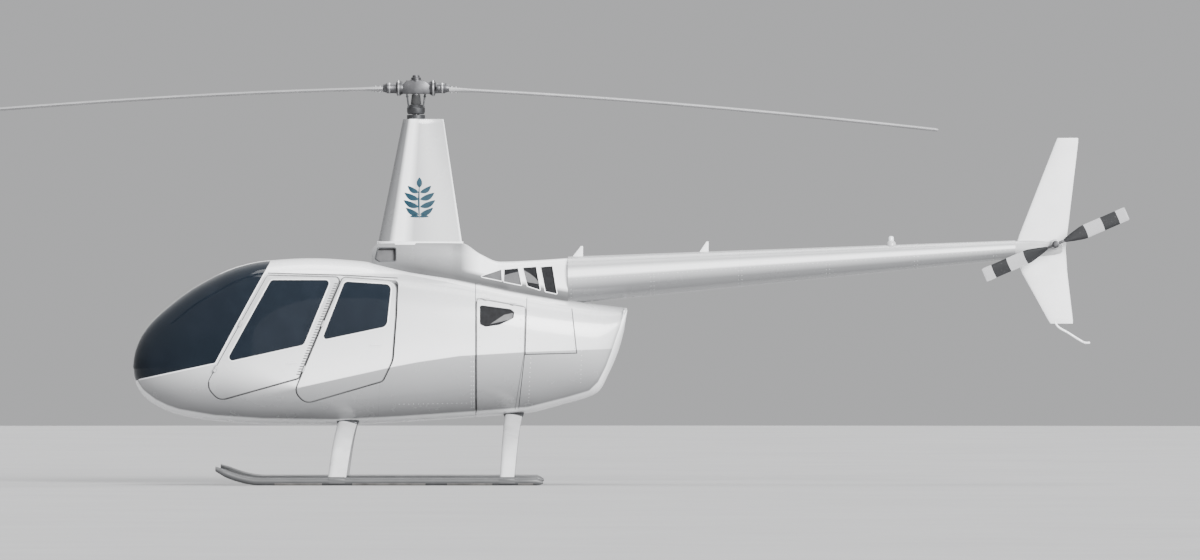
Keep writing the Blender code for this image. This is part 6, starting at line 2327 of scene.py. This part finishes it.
def rivet_tree():
    """A node tree that sets rivet heads along lines, square to the skin they lie on."""
    tree = bpy.data.node_groups.new("rivets_along_lines", "GeometryNodeTree")
    face = tree.interface
    face.new_socket("Lines", in_out="INPUT", socket_type="NodeSocketGeometry")
    for name, value in (("Pitch", 0.045), ("Radius", 0.0032)):
        item = face.new_socket(name, in_out="INPUT", socket_type="NodeSocketFloat")
        item.default_value, item.subtype = value, "DISTANCE"
    item = face.new_socket("Stretch", in_out="INPUT", socket_type="NodeSocketVector")
    item.default_value = (1.0, 1.0, 0.32)
    face.new_socket("Finish", in_out="INPUT", socket_type="NodeSocketMaterial")
    face.new_socket("Rivets", in_out="OUTPUT", socket_type="NodeSocketGeometry")
    link = tree.links.new
    start, end = add_node(tree, "NodeGroupInput"), add_node(tree, "NodeGroupOutput")
    curve = add_node(tree, "GeometryNodeMeshToCurve")
    even = add_node(tree, "GeometryNodeResampleCurve", mode="LENGTH")
    facing = add_node(tree, "GeometryNodeInputNamedAttribute", data_type="FLOAT_VECTOR")
    facing.inputs["Name"].default_value = "facing"
    turn = add_node(tree, "FunctionNodeAlignRotationToVector", axis="Z")
    head = add_node(tree, "GeometryNodeMeshUVSphere")
    head.inputs["Segments"].default_value = 10
    head.inputs["Rings"].default_value = 6
    head.inputs["Radius"].default_value = 1.0
    flat = add_node(tree, "GeometryNodeTransform")
    link(start.outputs["Stretch"], flat.inputs["Scale"])
    place = add_node(tree, "GeometryNodeInstanceOnPoints")
    real = add_node(tree, "GeometryNodeRealizeInstances")
    dress = add_node(tree, "GeometryNodeSetMaterial")
    link(start.outputs["Lines"], curve.inputs["Mesh"])
    link(curve.outputs["Curve"], even.inputs["Curve"])
    link(start.outputs["Pitch"], even.inputs["Length"])
    link(facing.outputs["Attribute"], turn.inputs["Vector"])
    link(head.outputs["Mesh"], flat.inputs["Geometry"])
    link(even.outputs["Curve"], place.inputs["Points"])
    link(flat.outputs["Geometry"], place.inputs["Instance"])
    link(turn.outputs["Rotation"], place.inputs["Rotation"])
    link(start.outputs["Radius"], place.inputs["Scale"])
    link(place.outputs["Instances"], real.inputs["Geometry"])
    link(real.outputs["Geometry"], dress.inputs["Geometry"])
    link(start.outputs["Finish"], dress.inputs["Material"])
    link(dress.outputs["Geometry"], end.inputs["Rivets"])
    return tree


def rivet_rows(lines, name, material, body="airframe", pitch=None, radius=None,
               stretch=(1.0, 1.0, 0.32)):
    """Rivets along lines of (place, outward direction) points, as one plain mesh."""
    verts, edges, facing = [], [], []
    for line in lines:
        for i, (place, normal) in enumerate(line):
            if i:
                edges.append((len(verts) - 1, len(verts)))
            verts.append(place + Vector((MAST_X, 0, 0)))
            facing.append(normal)
    data = bpy.data.meshes.new(f"{name}_lines")
    data.from_pydata(verts, edges, [])
    attribute = data.attributes.new("facing", "FLOAT_VECTOR", "POINT")
    attribute.data.foreach_set("vector", [value for normal in facing for value in normal])
    item = bpy.data.objects.new(name, data)
    bpy.context.scene.collection.objects.link(item)
    modifier = item.modifiers.new("rivets", "NODES")
    modifier.node_group = bpy.data.node_groups.get("rivets_along_lines") or rivet_tree()
    sockets = {s.name: s.identifier for s in modifier.node_group.interface.items_tree if s.in_out == "INPUT"}
    modifier[sockets["Pitch"]] = pitch or looks().rivet_pitch
    modifier[sockets["Radius"]] = radius or looks().rivet_radius
    modifier[sockets["Stretch"]] = stretch
    modifier[sockets["Finish"]] = material
    graph = bpy.context.evaluated_depsgraph_get()
    graph.update()
    result = bpy.data.meshes.new_from_object(item.evaluated_get(graph))
    item.modifiers.clear()
    item.data = result
    result.name = name
    if not result.materials:
        result.materials.append(material)
    result.shade_smooth()
    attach(item, body)
    return item


def on_boom(x, angle):
    """A point of the boom's skin at a station and an angle, and the outward direction there."""
    out = Vector((0, math.cos(angle), math.sin(angle)))
    return Vector((x, 0, cone_height(x))) + out * cone_radius(x), out


def fin_line(levels, share, side):
    """A line up a fin's side, at a share of its chord, for rivets."""
    line = []
    for i in range(20):
        z = levels[0][0] + (levels[-1][0] - levels[0][0]) * (0.06 + 0.88 * i / 19)
        front, rear, thick = fin_at(levels, z)
        x = front + (rear - front) * share
        y = half_thick(streamlined(front, rear, thick, 16), x)
        line.append((Vector((x, side * y, z)), Vector((0, side, 0))))
    return line


def skin_line(points, side, lift=0.0):
    """A line on the body's skin, for rivets."""
    return [on_skin(p[0], p[1], side, lift) for p in spaced(points, 0.04, closed=False)]


class HELI_OT_fasteners(Operator):
    """Set the rows of rivets and screws with geometry nodes"""

    bl_idname = "helicopter.fasteners"
    bl_label = "Fasteners"

    def execute(self, context):
        for side, label in SIDES.items():
            ends = [((x, 0.72), (x, 1.80)) for x in (FRAME_X - 0.018, FRAME_X - 0.040)] + [
                ((-0.14, 1.86), (0.52, 1.78)), ((-0.15, 0.75), (0.52, 0.76)),
                ((1.055, 0.78), (1.075, 1.18)), ((1.54, 0.95), (1.56, 1.60)),
            ]
            lines = [skin_line(line, side) for line in ends]
            rivet_rows(lines, f"body_rivets_{label}", paint("gloss"))
            edge = [(1.055, 1.62), (1.045, 1.235), (1.485, 1.245), (1.440, 1.66)]
            rivet_rows(
                [skin_line(edge, side)], f"access_screws_{label}", paint("steel"),
                pitch=0.07, radius=0.0042,
            )
            front = skin_line([(0.600, 1.715), (0.600, 0.80)], side)
            rear = skin_line([(0.985, 1.62), (0.975, 1.22), (0.915, 0.80)], side)
            rivet_rows(
                [front, rear], f"cowl_door_screws_{label}", paint("steel"), f"cowl_door_{label}",
                pitch=0.085, radius=0.0040,
            )
        bands = (1.45, 2.195, 2.225, 3.015, 3.045, 3.835, 3.865, 4.655, 4.685, 5.395, 5.425)
        boom = [[on_boom(x, 2 * math.pi * i / 48) for i in range(49)] for x in bands]
        boom += [[on_boom(1.5 + 4.05 * i / 59, angle) for i in range(60)] for angle in (0.0, math.pi)]
        rivet_rows(boom, "boom_rivets", paint("gloss"), radius=0.0026)
        fins = [
            fin_line(levels, share, side)
            for levels in (UPPER_FIN, LOWER_FIN) for share in (0.16, 0.72) for side in (-1, 1)
        ]
        rivet_rows(fins, "fin_rivets", paint("gloss"), radius=0.0024)
        return {"FINISHED"}


class HELI_OT_trim(Operator):
    """Set the drip rails over the doors and the ribs along the front doors' rear edge"""

    bl_idname = "helicopter.trim"
    bl_label = "Trim"

    def execute(self, context):
        for side, label in SIDES.items():
            rail = spaced([(-1.372, 1.971), (-0.70, 1.9525), (-0.165, 1.9245)], 0.03, False)
            rail = bead(rail, side, 0.011, 0.004, closed=False)
            finish(rail, f"drip_rail_{label}", paint("rubber"))
            post = spaced([(-0.735, 1.872), (-1.086, 1.03)], 0.02, False)
            line = [on_skin(p.x, p.y, side, 0.0004) for p in post]
            rivet_rows(
                [line], f"door_edge_ribs_{label}", paint("grey"), f"front_door_{label}",
                pitch=0.026, radius=0.0045, stretch=(4.6, 1.35, 0.5),
            )
        return {"FINISHED"}


# ---- Stage --------------------------------------------------------------------------------------


def soft_sun(name, direction, strength, spread):
    """A broad distant light from a direction, its spread in degrees."""
    data = bpy.data.lights.new(name, "SUN")
    data.energy, data.angle = strength * looks().light, math.radians(spread)
    item = bpy.data.objects.new(name, data)
    item.rotation_mode = "QUATERNION"
    item.rotation_quaternion = Vector(direction).to_track_quat("Z", "Y")
    bpy.context.scene.collection.objects.link(item)
    return item


class HELI_OT_studio(Operator):
    """Set the floor, the soft lights and the camera"""

    bl_idname = "helicopter.studio"
    bl_label = "Studio"

    def execute(self, context):
        mesh = bmesh.new()
        bmesh.ops.create_circle(mesh, cap_ends=True, segments=160, radius=60.0)
        data = bpy.data.meshes.new("studio_floor")
        mesh.to_mesh(data)
        mesh.free()
        floor = bpy.data.objects.new("studio_floor", data)
        context.scene.collection.objects.link(floor)
        data.materials.append(simple_finish(
            "pale_floor", (0.30, 0.30, 0.303), (0.28, 0.28, 0.283), (0.7, 0.85), 0.4, 0.05, 20.0,
            specular=0.1))
        world = bpy.data.worlds.new("studio_air")
        world.use_nodes = True
        tree = world.node_tree
        air = tree.nodes["Background"]
        air.inputs["Color"].default_value = (0.98, 0.985, 1.0, 1)
        way = add_node(tree, "ShaderNodeTexCoord")
        split = add_node(tree, "ShaderNodeSeparateXYZ")
        tree.links.new(way.outputs["Generated"], split.inputs["Vector"])
        glow = remap(tree, split.outputs["Z"], 0.04, 0.40, 0.50, 0.95)
        tree.links.new(calc(tree, "MULTIPLY", glow, looks().light), air.inputs["Strength"])
        context.scene.world = world
        soft_sun("key_light", (0.60, -1.0, 0.42), 9.5, 30)
        soft_sun("top_light", (0.1, 0.25, 1.0), 4.2, 50)
        soft_sun("low_light", (0.25, -1.0, 0.12), 1.3, 60)
        camera = bpy.data.cameras.new("camera")
        camera.type, camera.lens, camera.sensor_width = "PERSP", looks().lens, 36
        width = PHOTO_SIZE[0] / PHOTO_SCALE
        distance = width / 2 / (18 / looks().lens)
        camera.clip_start, camera.clip_end = 1.0, distance + 400
        item = bpy.data.objects.new("camera", camera)
        centre_x = MAST_X + (PHOTO_SIZE[0] / 2 - PHOTO_MAST) / PHOTO_SCALE
        centre_z = (PHOTO_GROUND - PHOTO_SIZE[1] / 2) / PHOTO_SCALE
        item.location = (centre_x, -distance, centre_z)
        item.rotation_euler = (math.pi / 2, 0, 0)
        context.scene.collection.objects.link(item)
        context.scene.camera = item
        return {"FINISHED"}


class HELI_PT_looks(Panel):
    """Lists the helicopter's settings and steps"""

    bl_idname = "HELI_PT_looks"
    bl_label = "Helicopter"
    bl_space_type = "VIEW_3D"
    bl_region_type = "UI"
    bl_category = "Helicopter"

    def draw(self, context):
        column = self.layout.column()
        for name in HelicopterLooks.__annotations__:
            column.prop(context.scene.helicopter_looks, name)
        for step in STEPS:
            column.operator(step.bl_idname)


STEPS = (
    HELI_OT_nose_shell, HELI_OT_cabin_roof, HELI_OT_middle_fuselage, HELI_OT_engine_bay,
    HELI_OT_cabin_doors, HELI_OT_windshield, HELI_OT_cowl_doors, HELI_OT_raised_cowl,
    HELI_OT_mast_fairing, HELI_OT_tail, HELI_OT_lamps, HELI_OT_landing_gear, HELI_OT_main_rotor,
    HELI_OT_tail_rotor, HELI_OT_seats, HELI_OT_cockpit, HELI_OT_fasteners, HELI_OT_trim,
    HELI_OT_studio,
)


def register():
    """Register the settings, the steps and the panel."""
    for item in (HelicopterLooks, *STEPS, HELI_PT_looks):
        bpy.utils.register_class(item)
    bpy.types.Scene.helicopter_looks = PointerProperty(type=HelicopterLooks)


def unregister():
    """Remove what register added."""
    del bpy.types.Scene.helicopter_looks
    for item in reversed((HelicopterLooks, *STEPS, HELI_PT_looks)):
        bpy.utils.unregister_class(item)


def main():
    """Run every step."""
    register()
    for step in STEPS:
        group, name = step.bl_idname.split(".")
        getattr(getattr(bpy.ops, group), name)()


if __name__ == "__main__":
    main()
